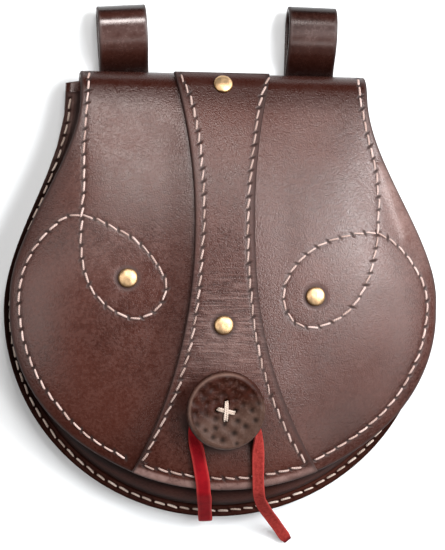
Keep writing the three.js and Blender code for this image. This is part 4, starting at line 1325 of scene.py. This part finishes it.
spacerSet = {
    "radius": 11.0, "high": 6.2, "layers": 3, "round": 0.8, "edgeSteps": 9, "gap": 0.3,
    "dark": 0.6, "sides": 64,
}
buttonFrame = flapFrame(buttonSet["x"], buttonSet["y"])
buttonSeat = stripAbove + spacerSet["high"] + buttonSet["gap"]


def makeSpacer(s):  # a short stack of leather washers with rounded edges
    layer = s["high"] / s["layers"]
    turn = np.linspace(-np.pi / 2, np.pi / 2, s["edgeSteps"])
    radius = s["radius"] - s["round"] + s["round"] * np.cos(turn)
    rows = [np.stack([radius, layer * (k + 0.5) + layer / 2 * np.sin(turn)], 1) for k in range(s["layers"])]
    profile = np.concatenate([[(0.0, 0.0)], *rows, [(0.0, s["high"])]])
    points, a, _ = turned(buttonFrame, profile, stripAbove + s["gap"], s["sides"])
    seam = np.stack([0 * a, farOff + 0 * a, 0 * a], -1)
    makePiece("button_spacer_leather", points, [ringFaces(numbered(points))], brownLeather, "brown_leather",
              ["button_spacer"], seam=seam, edge=np.full(a.size, s["dark"]))


# The button: a turned disc with a round edge and a dished face, thickness - dish * (1 - (r / top)^2), pitted
# by small dents of depth * exp(-(distance / size)^2) at seeded places, and four thread holes.
def makeButton(s):
    random = np.random.default_rng(s["seed"])
    radius, thick, top = s["radius"], s["thick"], s["top"] * s["radius"]
    side = smoothLine(np.array(s["side"]) * (radius, thick), s["sideSteps"])
    share = np.linspace(1.0, 0.0, s["rings"])[1:]
    dish = np.stack([top * share, thick - s["dish"] * (1.0 - share**2)], 1)
    profile = np.concatenate([[(0.0, 0.0), (s["underRing"] * radius, 0.0)], side, dish])
    places, chosen = random.uniform(-1.0, 1.0, (s["tries"], 2)) * radius, []
    for p in places[np.hypot(*places.T) < s["within"] * radius]:
        if np.hypot(*p) > s["clear"] and all(np.hypot(*(p - q)) > s["apart"] for q in chosen):
            chosen.append(p)
    size = random.uniform(*s["pitSize"], len(chosen))
    deep = random.uniform(*s["pitDeep"], len(chosen))
    points, a, b = turned(buttonFrame, profile, buttonSeat, s["sides"])

    def away(spots):
        return np.sqrt(((np.stack([a, b], -1)[:, :, None] - spots) ** 2).sum(-1))

    dents = bell(away(np.array(chosen)), size)
    onTop = (spread(profile[:, 1], s["sides"]) > s["topFrom"] * thick) * 1.0
    (waveA, startA), (waveB, startB) = s["lumpsA"], s["lumpsB"]
    lumps = s["lump"] * np.sin(a * waveA + startA) * np.sin(b * waveB + startB) * onTop
    # painted light on the lower half of the face, and painted shade in the pits, the holes and on the lower
    # side
    dull = smoothStep(s["dullSlope"] * a - b, *s["dullOver"])
    pit = np.clip(dents.max(-1), 0.0, 1.0) * onTop * mix(s["polishedPit"], 1.0, dull)
    holes = s["holeCircle"] * np.array([(1, 0), (0, 1), (-1, 0), (0, -1)], float)
    hole = bell(away(holes).min(-1), s["hole"]) * onTop
    under = (1.0 - onTop) * smoothStep(-b, *s["underOver"])  # the lower side is painted in shade
    depth = -(dents * deep).sum(-1) * onTop - s["holeDeep"] * hole + lumps
    points = points + depth[..., None] * buttonFrame[3]
    brim = bell(np.hypot(a, b) - s["brim"] * radius, s["brimWide"]) * onTop
    brim = brim * smoothStep(b - a, *s["brimOver"])
    makePiece("button_horn", points, [ringFaces(numbered(points))], darkHorn, "dark_horn", ["button"],
              pit=np.clip(pit + hole + under, 0.0, 1.0), worn=s["brimPale"] * brim, dull=dull)


crossSet = {
    "slope": 13.0, "apart": 0.42, "steps": 15,  # degrees that the level arm falls, mm from the arm's middle
    "level": (3.9, 0.25), "upright": (4.4, 0.75),  # half-length of an arm, and its height over the dish
    "stitch": {**stitchSet, "gap": 0.0, "slant": 0.0, "halfWide": 0.5, "sink": 0.9, "stray": 0.0},
}


# The thread on the button: two arms of two threads each, lying between opposite holes.
def makeCross(s):
    origin, right, up, out = buttonFrame
    base = buttonSeat + buttonSet["thick"] - buttonSet["dish"]
    slope = np.radians(s["slope"])
    level = right * np.cos(slope) - up * np.sin(slope)
    t, seams = np.linspace(-1.0, 1.0, s["steps"]), []
    for aim, aside, (half, lift) in ((level, np.cross(out, level), s["level"]), (up, -right, s["upright"])):
        for shift in (-s["apart"], s["apart"]):
            at = origin + out * (base + lift) + aim * half * t[:, None] + aside * shift
            seams.append({"at": at, "out": np.tile(out, (len(t), 1)), "count": 0.5 + 0.5 * t, "stitches": 1})
    sew("button_cross", seams, whiteThread, s["stitch"], rings=11)


makeSpacer(spacerSet)
makeButton(buttonSet)
makeCross(crossSet)
print("rivets and button set")

white, cool = (1.0, 1.0, 1.0), (0.94, 0.97, 1.0)
lightSet = {
    "aim": (0.0, 0.0, 0.03), "distance": 1.25, "world": 0.06,  # metres, and the strength of the surroundings
    "lamps": [  # name, the way to it, its size in metres, watts, colour
        ("key", (0.0, 0.59, 1.0), (0.34, 0.25), 8.2, white),
        ("right", (0.57, 0.34, 1.0), (0.28, 0.38), 13.5, cool),
        ("rightLow", (0.38, 0.0, 1.0), (0.22, 0.36), 5.0, cool),
        ("leftFill", (-0.38, 0.22, 1.0), (0.3, 0.35), 1.3, white),
        ("leftWing", (-0.95, 0.0, 1.0), (0.7, 0.9), 6.8, white),
        ("rightWing", (1.1, 0.08, 1.0), (0.4, 0.9), 10.0, cool),
        ("shoulder", (2.6, 1.8, 1.0), (0.6, 0.8), 8.0, white),
        ("low", (0.6, -0.62, 1.0), (0.9, 0.25), 3.6, white),
    ],
}
floorSet = {"half": 3.0, "z": -0.0002, "tones": ((0.7, 0.7, 0.7), (0.72, 0.72, 0.72))}  # metres


def makeFloor(s):
    material, n, shader = newMaterial("pale floor", {"Roughness": 0.9, "Specular IOR Level": 0.1})
    joinShader(n, shader, n.blend(n.noise(3.0, 2.0), *s["tones"]))
    mesh = bpy.data.meshes.new("floor")
    corners = [(x * s["half"], y * s["half"], s["z"]) for x, y in ((-1, -1), (1, -1), (1, 1), (-1, 1))]
    mesh.from_pydata(corners, [], [(0, 1, 2, 3)])
    mesh.materials.append(material)
    floor = newObject("floor", mesh)


def makeLights(s):
    for name, towards, size, power, colour in s["lamps"]:
        data = bpy.data.lights.new(name, "AREA")
        data.shape = "RECTANGLE"
        data.size, data.size_y = size
        data.energy, data.color = power, colour
        back = unit(np.array(towards, float))
        side = unit(np.cross((0.0, 1.0, 0.0), back))
        at = np.array(s["aim"]) + s["distance"] * back
        turnTo(newObject(name, data), side, np.cross(back, side), back, at)
    world = bpy.data.worlds.new("studio")
    world.use_nodes = True
    colour, strength = world.node_tree.nodes["Background"].inputs[:2]
    colour.default_value, strength.default_value = (*white, 1.0), s["world"]
    scene.world = world
    scene.view_settings.view_transform = "Standard"


makeFloor(floorSet)
makeLights(lightSet)
print("floor and light ready")
